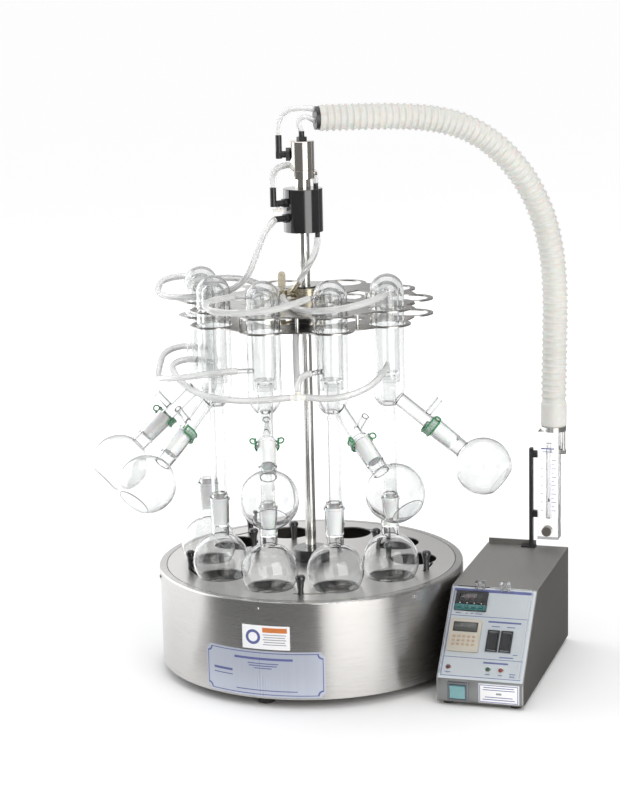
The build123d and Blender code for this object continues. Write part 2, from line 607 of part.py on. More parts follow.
for k in range(GLASSED):
    home = Plane(origin=station_spot(k), x_dir=(1, 0, 0), z_dir=(0, -1, 0))
    with BuildPart() as condenser:
        # outside: joint, lower tube, shoulder, shell and dome
        with BuildSketch(home):
            with BuildLine():
                Polyline((0, FLASK_RIM_Z - JOINT_LENGTH), (JOINT_END_R, FLASK_RIM_Z - JOINT_LENGTH),
                         (JOINT_TOP_R, FLASK_RIM_Z), (JOINT_TOP_R + 0.4, FLASK_RIM_Z + 1),
                         (JOINT_TOP_R + 0.4, FLASK_RIM_Z + 4), (TUBE_R, FLASK_RIM_Z + 7),
                         (TUBE_R, SHOULDER_Z))
                ThreePointArc((TUBE_R, SHOULDER_Z), (20.2, SHOULDER_Z + 11), (CONDENSER_R, SHELL_Z))
                Line((CONDENSER_R, SHELL_Z), (CONDENSER_R, DOME_Z))
                RadiusArc((CONDENSER_R, DOME_Z), (0, DOME_Z + CONDENSER_R), -CONDENSER_R)
                Line((0, DOME_Z + CONDENSER_R), (0, FLASK_RIM_Z - JOINT_LENGTH))
            make_face()
        revolve(axis=Axis(station_spot(k), (0, 0, 1)))
        # outside: side arm, its joint and the vent tube
        with BuildSketch(Plane(origin=station_spot(k, ARM_Z), z_dir=arm_direction(k))):
            Circle(ARM_R)
        extrude(amount=ARM_RIM - 4)
        with BuildSketch(Plane(origin=arm_point(k, ARM_RIM - 5), z_dir=arm_direction(k))):
            Circle(JOINT_TOP_R + 0.3)
        extrude(amount=4)
        with BuildSketch(Plane(origin=arm_point(k, ARM_RIM - 1), z_dir=arm_direction(k))):
            Circle(JOINT_TOP_R + 0.05)
        extrude(amount=JOINT_LENGTH, taper=JOINT_TAPER)
        with BuildSketch(Plane(origin=arm_point(k, NUB_AT), z_dir=nub_direction(k))):
            Circle(5.4)
        extrude(amount=36)
        # hollow: shell, lower tube, arm and vent
        with BuildSketch(home):
            with BuildLine():
                Polyline((0, SHOULDER_Z - 10), (TUBE_BORE, SHOULDER_Z - 10), (TUBE_BORE, SHOULDER_Z + 2))
                ThreePointArc((TUBE_BORE, SHOULDER_Z + 2), (18.8, SHOULDER_Z + 12.6),
                              (CONDENSER_R - GLASS, SHELL_Z))
                Line((CONDENSER_R - GLASS, SHELL_Z), (CONDENSER_R - GLASS, DOME_Z))
                RadiusArc((CONDENSER_R - GLASS, DOME_Z), (0, DOME_Z + CONDENSER_R - GLASS),
                          -(CONDENSER_R - GLASS))
                Line((0, DOME_Z + CONDENSER_R - GLASS), (0, SHOULDER_Z - 10))
            make_face()
        revolve(axis=Axis(station_spot(k), (0, 0, 1)), mode=Mode.SUBTRACT)
        with BuildSketch(Plane(origin=arm_point(k, 6), z_dir=arm_direction(k))):
            Circle(ARM_R - GLASS)
        extrude(amount=ARM_RIM + JOINT_LENGTH, mode=Mode.SUBTRACT)
        with BuildSketch(Plane(origin=arm_point(k, NUB_AT), z_dir=nub_direction(k))):
            Circle(3.8)
        extrude(amount=40, mode=Mode.SUBTRACT)
        # standpipe that keeps the condensate out of the lower tube
        with BuildSketch(Plane.XY.offset(SHOULDER_Z - 6)):
            with Locations(station_spot(k)[:2]):
                Circle(TUBE_R)
        extrude(amount=STANDPIPE_TOP - SHOULDER_Z + 6)
        with BuildSketch(Plane.XY.offset(FLASK_RIM_Z - JOINT_LENGTH)):
            with Locations(station_spot(k)[:2]):
                Circle(TUBE_BORE - 0.8)
        extrude(amount=STANDPIPE_TOP - FLASK_RIM_Z + JOINT_LENGTH, mode=Mode.SUBTRACT)
        # cold finger, closed all round
        with BuildSketch(home):
            with BuildLine():
                Polyline((0, FINGER_BOTTOM + 12), (TUBE_R + 3, FINGER_BOTTOM + 12), (TUBE_R + 3, FINGER_BOTTOM),
                         (FINGER_R, FINGER_BOTTOM), (FINGER_R, FINGER_TOP))
                RadiusArc((FINGER_R, FINGER_TOP), (0, FINGER_TOP + FINGER_R), -FINGER_R)
                Line((0, FINGER_TOP + FINGER_R), (0, FINGER_BOTTOM + 12))
            make_face()
        revolve(axis=Axis(station_spot(k), (0, 0, 1)))
        for level in BARB_Z:
            with BuildSketch(Plane(origin=station_spot(k, level), z_dir=outward(ARM_BEARINGS[k] + BARB_TURN))):
                Circle(3.8)
            extrude(amount=BARB_REACH)
        with BuildSketch(home):
            with BuildLine():
                Polyline((0, FINGER_BOTTOM + 14), (FINGER_R - GLASS, FINGER_BOTTOM + 14),
                         (FINGER_R - GLASS, FINGER_TOP))
                RadiusArc((FINGER_R - GLASS, FINGER_TOP), (0, FINGER_TOP + FINGER_R - GLASS),
                          -(FINGER_R - GLASS))
                Line((0, FINGER_TOP + FINGER_R - GLASS), (0, FINGER_BOTTOM + 14))
            make_face()
        revolve(axis=Axis(station_spot(k), (0, 0, 1)), mode=Mode.SUBTRACT)
        for level in BARB_Z:
            with BuildSketch(Plane(origin=station_spot(k, level), z_dir=outward(ARM_BEARINGS[k] + BARB_TURN))):
                Circle(2.4)
            extrude(amount=BARB_REACH + 1, mode=Mode.SUBTRACT)
    write(condenser, f"condenser_{k + 1}")

for k in range(GLASSED):
    centre = arm_point(k, ARM_REACH)
    up_the_neck = tuple(-c for c in arm_direction(k))
    with BuildPart() as receiver:
        with Locations(Plane(origin=centre, z_dir=up_the_neck)):
            add(flask_form.part)
    write(receiver, f"receiver_{k + 1}")

with BuildPart() as joint_clips:
    for k in range(GLASSED):
        # a C-shaped spring clip over the two rims, open on one side, with a finger loop
        clip_plane = Plane(origin=arm_point(k, ARM_RIM - 6.5), x_dir=nub_direction(k), z_dir=arm_direction(k))
        for start, inner, thick in ((0, JOINT_TOP_R + 0.5, 1.5), (1.5, 16.0, 9.5), (11.0, LIP_R + 0.4, 1.5)):
            with BuildSketch(clip_plane.offset(start)):
                Circle(17.6)
                Circle(inner, mode=Mode.SUBTRACT)
                with Locations((20, 0)):
                    Rectangle(40, 21, mode=Mode.SUBTRACT)
            extrude(amount=thick)
        with BuildSketch(clip_plane.offset(4.6)):
            with Locations((-21, 0)):
                Circle(5.2)
                Circle(3.4, mode=Mode.SUBTRACT)
        extrude(amount=3.2)
write(joint_clips, "joint_clips")

# ================================================================ hoses on the carousel
left_start = spot(BLOCK_R + 21, LEFT_RISER_BEARING, LEFT_RISER_Z)
UPPER_ROUTES = {
    "left riser to A": [left_start, (-53, -38.5, 665), (-64, -50, 642), (-73, -58, 617), (-84, -62, 595),
                        (-103, -57, 580), (-126, -45, 571), (-155, -37, 567), (-186, -33, 565.5),
                        (-208, -16, 566), (-217, 10, 568), (-217.5, 34, 571), (-216, 55, 575),
                        (-205.9, 68.9, 578.5), (-189, 72.2, 581), (-173.9, 64, 582),
                        barb_tip(0, BARB_Z[1])],
    "right riser": [RIGHT_RISER_TAIL, (19.5, -10, 634), (14.5, -15, 621), (6.5, -18.5, 608),
                    (-1, -18.6, 595), RISER_END],
    "loop": [LOOP_START, (-43.4, -24.6, 733), (-41, -13, 744.5), (-31, 6, 749.5), (-15, 25, 749.5),
             (3, 33, 746), (14.5, 27, 741), (19, 16.3, 733), LOOP_END],
    "valve to E": [VALVE_OUT, (-31.5, -54, 562.5), (-27, -79, 560.7), (-20, -108, 560.7), (-10, -139, 561.5),
                   (5, -168, 563.5), (27, -187, 567), (55, -194, 571), (83, -186, 576), (103, -169, 580.5),
                   barb_tip(4, BARB_Z[1])],
    "hub to B": [spot(TAIL_REACH, B_TAIL_BEARING, UPPER_TAIL_Z), (-50, 8, 567), (-68, 5, 578), (-90, -5, 587),
                 (-115, -14, 590.5), (-137, -17, 590), (-155.3, -16.9, 588), (-166.4, -27.9, 585.5),
                 (-166.5, -43.5, 583), barb_tip(1, BARB_Z[1])],
    "C to D": [barb_tip(2, BARB_Z[1]), (-122, -144.3, 581), (-139, -159, 577), (-138.5, -182, 573),
               (-122, -198, 570), (-96, -202, 569), (-66, -203, 570), (-37, -200, 573), (-13, -188, 578.5),
               barb_tip(3, BARB_Z[1])],
}
LOWER_ROUTES = {
    "hub to cross": [spot(TAIL_REACH, TEE_TAIL_BEARING, LOWER_TAIL_Z), (-14, -51, 515.5), (-15.5, -72, 501),
                     (-15, -94, 480), (-14.5, -121, 461), (-13.5, -153, 449.5), shifted(TEE, (0, 1, 0), 11)],
    "cross to E": [shifted(TEE, (1, 0, 0), 11), (20, -198.5, 444.5), (49, -201, 446.5), (79, -191, 454),
                   (101, -171, 465), barb_tip(4, BARB_Z[0])],
    "cross to B": [shifted(TEE, (-1, 0, 0), 11), (-46, -197, 445.5), (-78, -199, 444), (-111, -190, 444),
                   (-141, -169, 445.5), (-164, -140, 449), (-180, -109, 455), (-191, -80, 462),
                   (-197, -53.5, 469), (-185.5, -41, 474), (-168.4, -41.7, 476), barb_tip(1, BARB_Z[0])],
    "cross to D": [shifted(TEE, (0, 0, 1), 9), (-13.2, -195.6, 467), (-6.5, -184.5, 475.5),
                   barb_tip(3, BARB_Z[0])],
    "C to A": [barb_tip(2, BARB_Z[0]), (-118, -144, 475.5), (-146, -143, 472), (-177, -131, 466),
               (-201, -103, 459.5), (-214, -68, 453.5), (-218.5, -30, 450.5), (-219, 6, 453), (-218, 34, 458.5),
               (-216, 55, 465), (-205.9, 68.9, 470.5), (-189, 72.2, 474.5), (-173.9, 64, 476),
               barb_tip(0, BARB_Z[0])],
}

upper_tubes = [hose(route, HOSE_R, title) for title, route in UPPER_ROUTES.items()]
with BuildPart() as upper_hoses:
    for tube in upper_tubes:
        add(tube)
write(upper_hoses, "upper_hoses")

lower_tubes = [hose(route, HOSE_R, title) for title, route in LOWER_ROUTES.items()]
with BuildPart() as lower_hoses:
    for tube in lower_tubes:
        add(tube)
write(lower_hoses, "lower_hoses")

# ================================================================ controller (stands still)
YAW = radians(CASE_YAW)
ACROSS = (cos(YAW), sin(YAW), 0)           # to the right along the front
BACK = (-sin(YAW), cos(YAW), 0)            # from the front to the back
FRONT = tuple(-c for c in BACK)


def case_point(u, v, w):
    """A point at u across, v back and w up from the case's front left corner."""
    return (CASE_X + u * ACROSS[0] + v * BACK[0], CASE_Y + u * ACROSS[1] + v * BACK[1], w)


def side_plane(u):
    """Side view of the case at u: x runs back, y up, and it faces right."""
    return Plane(origin=case_point(u, 0, 0), x_dir=BACK, z_dir=ACROSS)


SLOPE_ANGLE = atan2(CASE_H - KINK_Z, SLOPE_RUN)
SLOPE_OUT = (FRONT[0] * sin(SLOPE_ANGLE), FRONT[1] * sin(SLOPE_ANGLE), cos(SLOPE_ANGLE))
SLOPE_UP = (BACK[0] * cos(SLOPE_ANGLE), BACK[1] * cos(SLOPE_ANGLE), sin(SLOPE_ANGLE))
panel_plane = Plane(origin=case_point(0, 0, KINK_Z), x_dir=ACROSS, z_dir=SLOPE_OUT)
strip_plane = Plane(origin=case_point(0, 0, 0), x_dir=ACROSS, z_dir=FRONT)


def slope_point(u, t, n):
    """A point at u across and t up the sloped panel, n proud of it."""
    v = t * cos(SLOPE_ANGLE) - n * sin(SLOPE_ANGLE)
    return case_point(u, v, KINK_Z + t * sin(SLOPE_ANGLE) + n * cos(SLOPE_ANGLE))


def rocker_side(u):
    """Side view of the sloped panel at u: x up the slope, y out of it, and it faces right."""
    return Plane(origin=slope_point(u, 0, 0), x_dir=SLOPE_UP, z_dir=ACROSS)


# middle of each opening (u, height along its face) and its size
TEMP_BOX = (32.5, 121.5, 47.0, 31.0)
TIMER_BOX = (31.0, 66.5, 46.0, 51.0)
ROCKERS = ((72.5, 61.0), (92.0, 61.0))
ROCKER_FRAME = (17.0, 35.0)
ROCKER_HOLE = (12.8, 28.0)
POWER_SPOT = (30.75, 21.5)
POWER_FRAME = (29.5, 27.0)
POWER_HOLE = (23.6, 22.8)
LAMPS = ((14.8, 16.8), (72.4, 17.0), (91.0, 17.0))
LAMP_R = 4.5

with BuildPart() as controller_case:
    with BuildSketch(side_plane(0)):
        Polygon((0, CASE_FLOOR), (0, KINK_Z), (SLOPE_RUN, CASE_H), (CASE_D, CASE_H), (CASE_D, CASE_FLOOR),
                align=None)
    extrude(amount=CASE_W)
    with BuildSketch(side_plane(SHEET)):
        Polygon((-20, 0), (-20, 70), (SLOPE_RUN - 20, CASE_H - SHEET), (CASE_D - SHEET, CASE_H - SHEET),
                (CASE_D - SHEET, 0), align=None)
    extrude(amount=CASE_W - 2 * SHEET, mode=Mode.SUBTRACT)
    with BuildSketch(side_plane(2)):
        Polygon((CASE_D - 3, CASE_H), (CASE_D, CASE_H), (CASE_D, CASE_H + 8), (CASE_D - 3, CASE_H + 8),
                align=None)
    extrude(amount=74)
    with BuildSketch(Plane(origin=case_point(113, CASE_D - 5, 75), z_dir=BACK)):
        Circle(5.1)
    extrude(amount=10, mode=Mode.SUBTRACT)
write(controller_case, "controller_case")

with BuildPart() as controller_floor:
    with BuildSketch(side_plane(SHEET)):
        Polygon((0, CASE_FLOOR), (CASE_D - SHEET, CASE_FLOOR), (CASE_D - SHEET, CASE_FLOOR + SHEET),
                (0, CASE_FLOOR + SHEET), align=None)
    extrude(amount=CASE_W - 2 * SHEET)
write(controller_floor, "controller_floor")

with BuildPart() as controller_feet:
    for u, v in ((14, 16), (CASE_W - 14, 16), (14, CASE_D - 18), (CASE_W - 14, CASE_D - 18)):
        with BuildSketch(Plane(origin=case_point(u, v, 0), x_dir=ACROSS, z_dir=(0, 0, 1))):
            Circle(8)
        extrude(amount=CASE_FLOOR)
write(controller_feet, "controller_feet")

PANEL_TOP = (CASE_H - SHEET - KINK_Z) / sin(SLOPE_ANGLE)
PANEL_BACK = PANEL_T / sin(SLOPE_ANGLE)

with BuildPart() as control_panel:
    with BuildSketch(side_plane(SHEET)):
        Polygon((0, CASE_FLOOR + SHEET), (0, KINK_Z),
                (PANEL_TOP * cos(SLOPE_ANGLE), CASE_H - SHEET),
                (PANEL_TOP * cos(SLOPE_ANGLE) + PANEL_BACK, CASE_H - SHEET),
                (PANEL_T, KINK_Z - (PANEL_BACK - PANEL_T) * tan(SLOPE_ANGLE)), (PANEL_T, CASE_FLOOR + SHEET),
                align=None)
    extrude(amount=CASE_W - 2 * SHEET)
    for u, t in ROCKERS:
        with BuildSketch(panel_plane):
            with Locations((u, t)):
                Rectangle(*ROCKER_FRAME)
        extrude(amount=1.6)
        with BuildSketch(panel_plane.offset(-5)):
            with Locations((u, t)):
                Rectangle(*ROCKER_HOLE)
        extrude(amount=10, mode=Mode.SUBTRACT)
    with BuildSketch(strip_plane):
        with Locations(POWER_SPOT):
            Rectangle(*POWER_FRAME)
    extrude(amount=1.6)
    with BuildSketch(strip_plane.offset(-5)):
        with Locations(POWER_SPOT):
            Rectangle(*POWER_HOLE)
    extrude(amount=10, mode=Mode.SUBTRACT)
    for u, t, width, height in (TEMP_BOX, TIMER_BOX):
        with BuildSketch(panel_plane.offset(-5)):
            with Locations((u, t)):
                Rectangle(width - 4, height - 4)
        extrude(amount=8, mode=Mode.SUBTRACT)
    with BuildSketch(panel_plane.offset(-5)):
        with Locations(*LAMPS):
            Circle(LAMP_R - 1)
    extrude(amount=8, mode=Mode.SUBTRACT)
write(control_panel, "control_panel")

KEYS = [(TEMP_BOX[0] - 15.75 + 10.5 * i, TEMP_BOX[1] - 10.5) for i in range(4)]
KEY_SIZE = (6.0, 3.4)

with BuildPart() as temp_controller:
    with BuildSketch(panel_plane):
        with Locations(TEMP_BOX[:2]):
            Rectangle(*TEMP_BOX[2:])
    extrude(amount=3.4)
    with BuildSketch(panel_plane.offset(-26)):
        with Locations(TEMP_BOX[:2]):
            Rectangle(TEMP_BOX[2] - 4, TEMP_BOX[3] - 4)
    extrude(amount=26)
    with BuildSketch(panel_plane.offset(1.0)):
        with Locations(*KEYS):
            Rectangle(KEY_SIZE[0] + 0.5, KEY_SIZE[1] + 0.5)
    extrude(amount=5, mode=Mode.SUBTRACT)
write(temp_controller, "temp_controller")

with BuildPart() as temp_keys:
    with BuildSketch(panel_plane.offset(1.8)):
        with Locations(*KEYS):
            Rectangle(*KEY_SIZE)
    extrude(amount=2.4)
write(temp_keys, "temp_keys")

with BuildPart() as timer_module:
    with BuildSketch(panel_plane):
        with Locations(TIMER_BOX[:2]):
            RectangleRounded(*TIMER_BOX[2:], 3)
    extrude(amount=4.0)
    with BuildSketch(panel_plane.offset(-26)):
        with Locations(TIMER_BOX[:2]):
            Rectangle(TIMER_BOX[2] - 4, TIMER_BOX[3] - 4)
    extrude(amount=26)
write(timer_module, "timer_module")

with BuildPart() as indicator_lamps:
    with BuildSketch(panel_plane):
        with Locations(*LAMPS):
            Circle(LAMP_R)
    extrude(amount=2.6)
    with BuildSketch(panel_plane.offset(-10)):
        with Locations(*LAMPS):
            Circle(LAMP_R - 1)
    extrude(amount=10)
write(indicator_lamps, "indicator_lamps")

ROCKER_PIVOT = -2.0        # below the panel's face
POWER_PIVOT = 2.0          # behind the strip's face
ROCKER_TILT = 7.0          # each rocker rests tipped to its lower end

for name, (u, t) in zip(("rocker_left", "rocker_right"), ROCKERS):
    with BuildPart() as rocker:
        with BuildSketch(rocker_side(u - 6)):
            with Locations(Location((t, ROCKER_PIVOT, 0), (0, 0, ROCKER_TILT))):
                Polygon((-12.9, 1), (-12.4, 5.4), (0, 4), (12.4, 5.4), (12.9, 1), (8, -6), (-8, -6),
                        align=None)
        extrude(amount=12)
    write(rocker, name)

with BuildPart() as power_rocker:
    with BuildSketch(side_plane(POWER_SPOT[0] - 11.2)):
        with Locations(Location((POWER_PIVOT, POWER_SPOT[1], 0), (0, 0, ROCKER_TILT))):
            Polygon((-1, -9.9), (-5.2, -9.4), (-4, 0), (-5.2, 9.4), (-1, 9.9), (5, 6), (5, -6), align=None)
    extrude(amount=22.4)
write(power_rocker, "power_rocker")

# clear cover hinged along the top of the sloped panel
HINGE_T, HINGE_N = 147.5, 10.0
HINGES = (43.0, 80.0)
KNUCKLE = 5.4
COVER_LOW, COVER_HIGH = 3.0, 141.0
COVER_UNDER = 9.0          # underside of the clear sheet, proud of the panel
LIP_UNDER = 5.6            # edge of its side lips, just above the rockers
COVER_U = (4.0, CASE_W - 4.0)

with BuildPart() as cover_hinges:
    for u in HINGES:
        for start in (u - 3.1 - 4.0, u + 3.1):
            with BuildSketch(rocker_side(start)):
                Polygon((139, 0), (146, 0), (150.6, 8), (150.6, 12.6), (145.2, 12.6), (141.8, 7), align=None)
            extrude(amount=4)
        with BuildSketch(rocker_side(u - 5)):
            with Locations((HINGE_T, HINGE_N)):
                Circle(1.2)
        extrude(amount=10)
write(cover_hinges, "cover_hinges")

with BuildPart() as flip_cover:
    with BuildSketch(panel_plane.offset(COVER_UNDER)):
        with Locations(((COVER_U[0] + COVER_U[1]) / 2, (COVER_LOW + COVER_HIGH) / 2)):
            Rectangle(COVER_U[1] - COVER_U[0], COVER_HIGH - COVER_LOW)
    extrude(amount=2.5)
    for u in (COVER_U[0], COVER_U[1] - 2):
        with BuildSketch(panel_plane.offset(LIP_UNDER)):
            with Locations((u + 1, (COVER_LOW + COVER_HIGH) / 2)):
                Rectangle(2, COVER_HIGH - COVER_LOW)
        extrude(amount=COVER_UNDER - LIP_UNDER)
    for u in HINGES:
        with BuildSketch(rocker_side(u - KNUCKLE / 2)):
            Polygon((138, 9), (147.5, 7.2), (150.3, 9), (150.3, 11.5), (147.5, 12.8), (138, 11.5), align=None)
            with Locations((HINGE_T, HINGE_N)):
                Circle(1.28, mode=Mode.SUBTRACT)
        extrude(amount=KNUCKLE)
write(flip_cover, "flip_cover")

with BuildPart() as rear_gland:
    with BuildSketch(Plane(origin=case_point(113, CASE_D - SHEET, 75), z_dir=BACK)):
        Circle(5.0)
    extrude(amount=12)
    with BuildSketch(Plane(origin=case_point(113, CASE_D, 75), z_dir=BACK)):
        RegularPolygon(8.0, 6)
    extrude(amount=5)
    with BuildSketch(Plane(origin=case_point(113, CASE_D + 5, 75), z_dir=BACK)):
        Circle(6.6)
    extrude(amount=9, taper=12)
    with BuildSketch(Plane(origin=case_point(113, CASE_D - 6, 75), z_dir=BACK)):
        Circle(2.4)
    extrude(amount=24, mode=Mode.SUBTRACT)
write(rear_gland, "rear_gland")

# ================================================================ flowmeter on the back of the case
METER_U, METER_V = 96.7, 333.5
METER_LOW, METER_HIGH = 162.0, 331.0
METER_W, METER_D = 32.0, 24.0
KNOB_Z = 177.0


def case_level(z, u=0.0, v=0.0):
    """Horizontal plane at z whose origin stands at u, v in the case's directions."""
    return Plane(origin=case_point(u, v, z), x_dir=ACROSS, z_dir=(0, 0, 1))


with BuildPart() as meter_upright:
    with BuildSketch(case_level(CASE_H, 66.6, 325.3)):
        Rectangle(22, 12)
    extrude(amount=2.5)
    with BuildSketch(case_level(CASE_H + 2.5, 70.6, 325.3)):
        Rectangle(5, 10)
    extrude(amount=302 - CASE_H)
    for low in (196, 290):
        with BuildSketch(case_level(low, 76.9, 327)):
            Rectangle(METER_U - METER_W / 2 - 73.1, 8)
        extrude(amount=10)
write(meter_upright, "meter_upright")

with BuildPart() as meter_body:
    with BuildSketch(case_level(METER_LOW, METER_U, METER_V)):
        Rectangle(METER_W, METER_D)
    extrude(amount=METER_HIGH - METER_LOW)
    with BuildSketch(case_level(194, METER_U, METER_V)):
        Circle(5.05)
    extrude(amount=118, mode=Mode.SUBTRACT)
    with BuildSketch(Plane(origin=case_point(METER_U, METER_V - METER_D / 2 - 1, KNOB_Z), z_dir=BACK)):
        Circle(2.6)
    extrude(amount=9.5, mode=Mode.SUBTRACT)
write(meter_body, "meter_body")

with BuildPart() as flow_tube:
    with BuildSketch(case_level(194, METER_U, METER_V)):
        Circle(5)
        Circle(3.4, mode=Mode.SUBTRACT)
    extrude(amount=118)
write(flow_tube, "flow_tube")

with BuildPart() as meter_knob:
    with BuildSketch(Plane(origin=case_point(METER_U, METER_V - METER_D / 2 - 0.6, KNOB_Z), z_dir=FRONT)):
        Circle(8)
    extrude(amount=10, taper=3)
    with BuildSketch(Plane(origin=case_point(METER_U, METER_V - METER_D / 2 - 0.6, KNOB_Z), z_dir=BACK)):
        Circle(2.5)
    extrude(amount=8)
write(meter_knob, "meter_knob")

HOSE_FOOT_Z = CORRUGATED_ROUTE[-1][2]

with BuildPart() as meter_fittings:
    with BuildSketch(Plane.XY.offset(METER_HIGH)):
        with Locations(CORRUGATED_ROUTE[-1][:2]):
            Circle(19)
    extrude(amount=HOSE_FOOT_Z - METER_HIGH)
    # small bypass pipe beside the meter
    with BuildSketch(case_level(METER_HIGH + 2, METER_U + METER_W / 2 + 6, METER_V)):
        Circle(3)
    extrude(amount=-(METER_HIGH + 2 - 296))
    with BuildSketch(Plane(origin=case_point(METER_U + METER_W / 2, METER_V, 299), z_dir=ACROSS)):
        Circle(4)
    extrude(amount=9.5)
write(meter_fittings, "meter_fittings")
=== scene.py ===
# Ten-place rotating condensing carousel over a round heated bath, with its bench controller,
# flowmeter and corrugated supply hose.  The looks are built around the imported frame, in metres.
import math

import bmesh
import bpy
from mathutils import Matrix, Vector


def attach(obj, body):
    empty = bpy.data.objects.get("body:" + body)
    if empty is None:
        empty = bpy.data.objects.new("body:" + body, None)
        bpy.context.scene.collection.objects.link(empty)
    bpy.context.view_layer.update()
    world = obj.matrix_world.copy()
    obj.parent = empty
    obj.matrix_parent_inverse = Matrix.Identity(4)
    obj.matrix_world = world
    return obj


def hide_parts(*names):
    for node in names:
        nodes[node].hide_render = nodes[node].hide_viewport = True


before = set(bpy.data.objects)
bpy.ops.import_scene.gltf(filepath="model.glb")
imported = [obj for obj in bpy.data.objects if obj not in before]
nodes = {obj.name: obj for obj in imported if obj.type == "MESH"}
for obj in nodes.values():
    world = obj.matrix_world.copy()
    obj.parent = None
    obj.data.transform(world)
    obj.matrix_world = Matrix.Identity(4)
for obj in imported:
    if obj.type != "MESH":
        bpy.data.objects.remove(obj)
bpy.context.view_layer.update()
MM = 0.001


def mm(point):
    """A point given in millimetres, in metres."""
    return Vector(point) * MM


def spot(radius, bearing, z=0.0):
    """A point in metres, from a radius and height in millimetres and a bearing from -Y towards +X."""
    a = math.radians(bearing)
    return mm((radius * math.sin(a), -radius * math.cos(a), z))


# ---------------------------------------------------------------- camera
CAMERA_AT = Vector((0.003477, -3.198406, 1.073108))
CAMERA_RIGHT = Vector((0.99974019, -0.0047164, -0.02230051))
CAMERA_UP = Vector((0.0227938, 0.20686211, 0.97810455))
FOCAL_LENGTH = 98.14
camera_data = bpy.data.cameras.new("camera")
camera_data.sensor_width = 36.0
camera_data.lens = FOCAL_LENGTH
camera_data.clip_end = 200.0
camera = bpy.data.objects.new("camera", camera_data)
bpy.context.scene.collection.objects.link(camera)
facing = Matrix((CAMERA_RIGHT, CAMERA_UP, CAMERA_RIGHT.cross(CAMERA_UP))).transposed()
camera.matrix_world = Matrix.Translation(CAMERA_AT) @ facing.to_4x4()
bpy.context.scene.camera = camera

# ---------------------------------------------------------------- materials


def new_material(name):
    """An empty node material and its shader."""
    material = bpy.data.materials.new(name)
    material.use_nodes = True
    return material, material.node_tree, material.node_tree.nodes["Principled BSDF"]


def add_node(tree, kind, settings=(), **values):
    """A node with some of its properties and input values set."""
    node = tree.nodes.new(kind)
    for key, value in dict(settings).items():
        setattr(node, key, value)
    for key, value in values.items():
        node.inputs[key].default_value = value
    return node


def noise_value(tree, stretch, scale, detail=3.0, roughness=0.55):
    """Noise read in the piece's own coordinates, stretched along its axes."""
    coords = add_node(tree, "ShaderNodeTexCoord")
    mapping = add_node(tree, "ShaderNodeMapping", Scale=stretch)
    noise = add_node(tree, "ShaderNodeTexNoise", Scale=scale, Detail=detail, Roughness=roughness)
    tree.links.new(coords.outputs["Object"], mapping.inputs["Vector"])
    tree.links.new(mapping.outputs["Vector"], noise.inputs["Vector"])
    return noise.outputs["Fac"]


def ranged(tree, source, low, high, start=0.3, end=0.7):
    """The source value spread from low to high."""
    spread = add_node(tree, "ShaderNodeMapRange")
    for index, value in enumerate((start, end, low, high), 1):
        spread.inputs[index].default_value = value
    tree.links.new(source, spread.inputs[0])
    return spread.outputs[0]


def shade_of(tree, source, dark, light):
    """A colour between two, chosen by a value."""
    mix = add_node(tree, "ShaderNodeMix", {"data_type": "RGBA"})
    mix.inputs["A"].default_value = (*dark, 1.0)
    mix.inputs["B"].default_value = (*light, 1.0)
    tree.links.new(source, mix.inputs["Factor"])
    return mix.outputs["Result"]


GRAIN_SHARE = 0.55      # of a finish's variation, the rest is broad clouding


def surface(name, dark, light, rough, stretch=(1, 1, 1), scale=40.0, bump=0.0, cloud=6.0, **fixed):
    """A finish whose grain sets its colour, gloss and relief, with broad clouding over it."""
    material, tree, shader = new_material(name)
    grain = noise_value(tree, stretch, scale, 4.0)
    broad = noise_value(tree, (1, 1, 1), cloud, 2.0)
    both = add_node(tree, "ShaderNodeMath", {"operation": "MULTIPLY_ADD"})
    both.inputs[1].default_value = GRAIN_SHARE
    weighted = add_node(tree, "ShaderNodeMath", {"operation": "MULTIPLY"})
    weighted.inputs[1].default_value = 1 - GRAIN_SHARE
    tree.links.new(broad, weighted.inputs[0])
    tree.links.new(grain, both.inputs[0])
    tree.links.new(weighted.outputs[0], both.inputs[2])
    tree.links.new(shade_of(tree, ranged(tree, both.outputs[0], 0, 1), dark, light), shader.inputs["Base Color"])
    tree.links.new(ranged(tree, both.outputs[0], rough[0], rough[1]), shader.inputs["Roughness"])
    if bump:
        relief = add_node(tree, "ShaderNodeBump", Strength=1.0, Distance=bump)
        tree.links.new(grain, relief.inputs["Height"])
        tree.links.new(relief.outputs["Normal"], shader.inputs["Normal"])
    for key, value in fixed.items():
        shader.inputs[key.replace("_", " ")].default_value = value
    return material


def turned(material, quarter, amount):
    """Stretches a round piece's highlights across the lines that its finish runs in."""
    tree = material.node_tree
    shader = tree.nodes["Principled BSDF"]
    tangent = add_node(tree, "ShaderNodeTangent", {"direction_type": "RADIAL", "axis": "Z"})
    shader.inputs["Anisotropic"].default_value = amount
    shader.inputs["Anisotropic Rotation"].default_value = quarter
    tree.links.new(tangent.outputs["Tangent"], shader.inputs["Tangent"])
    return material


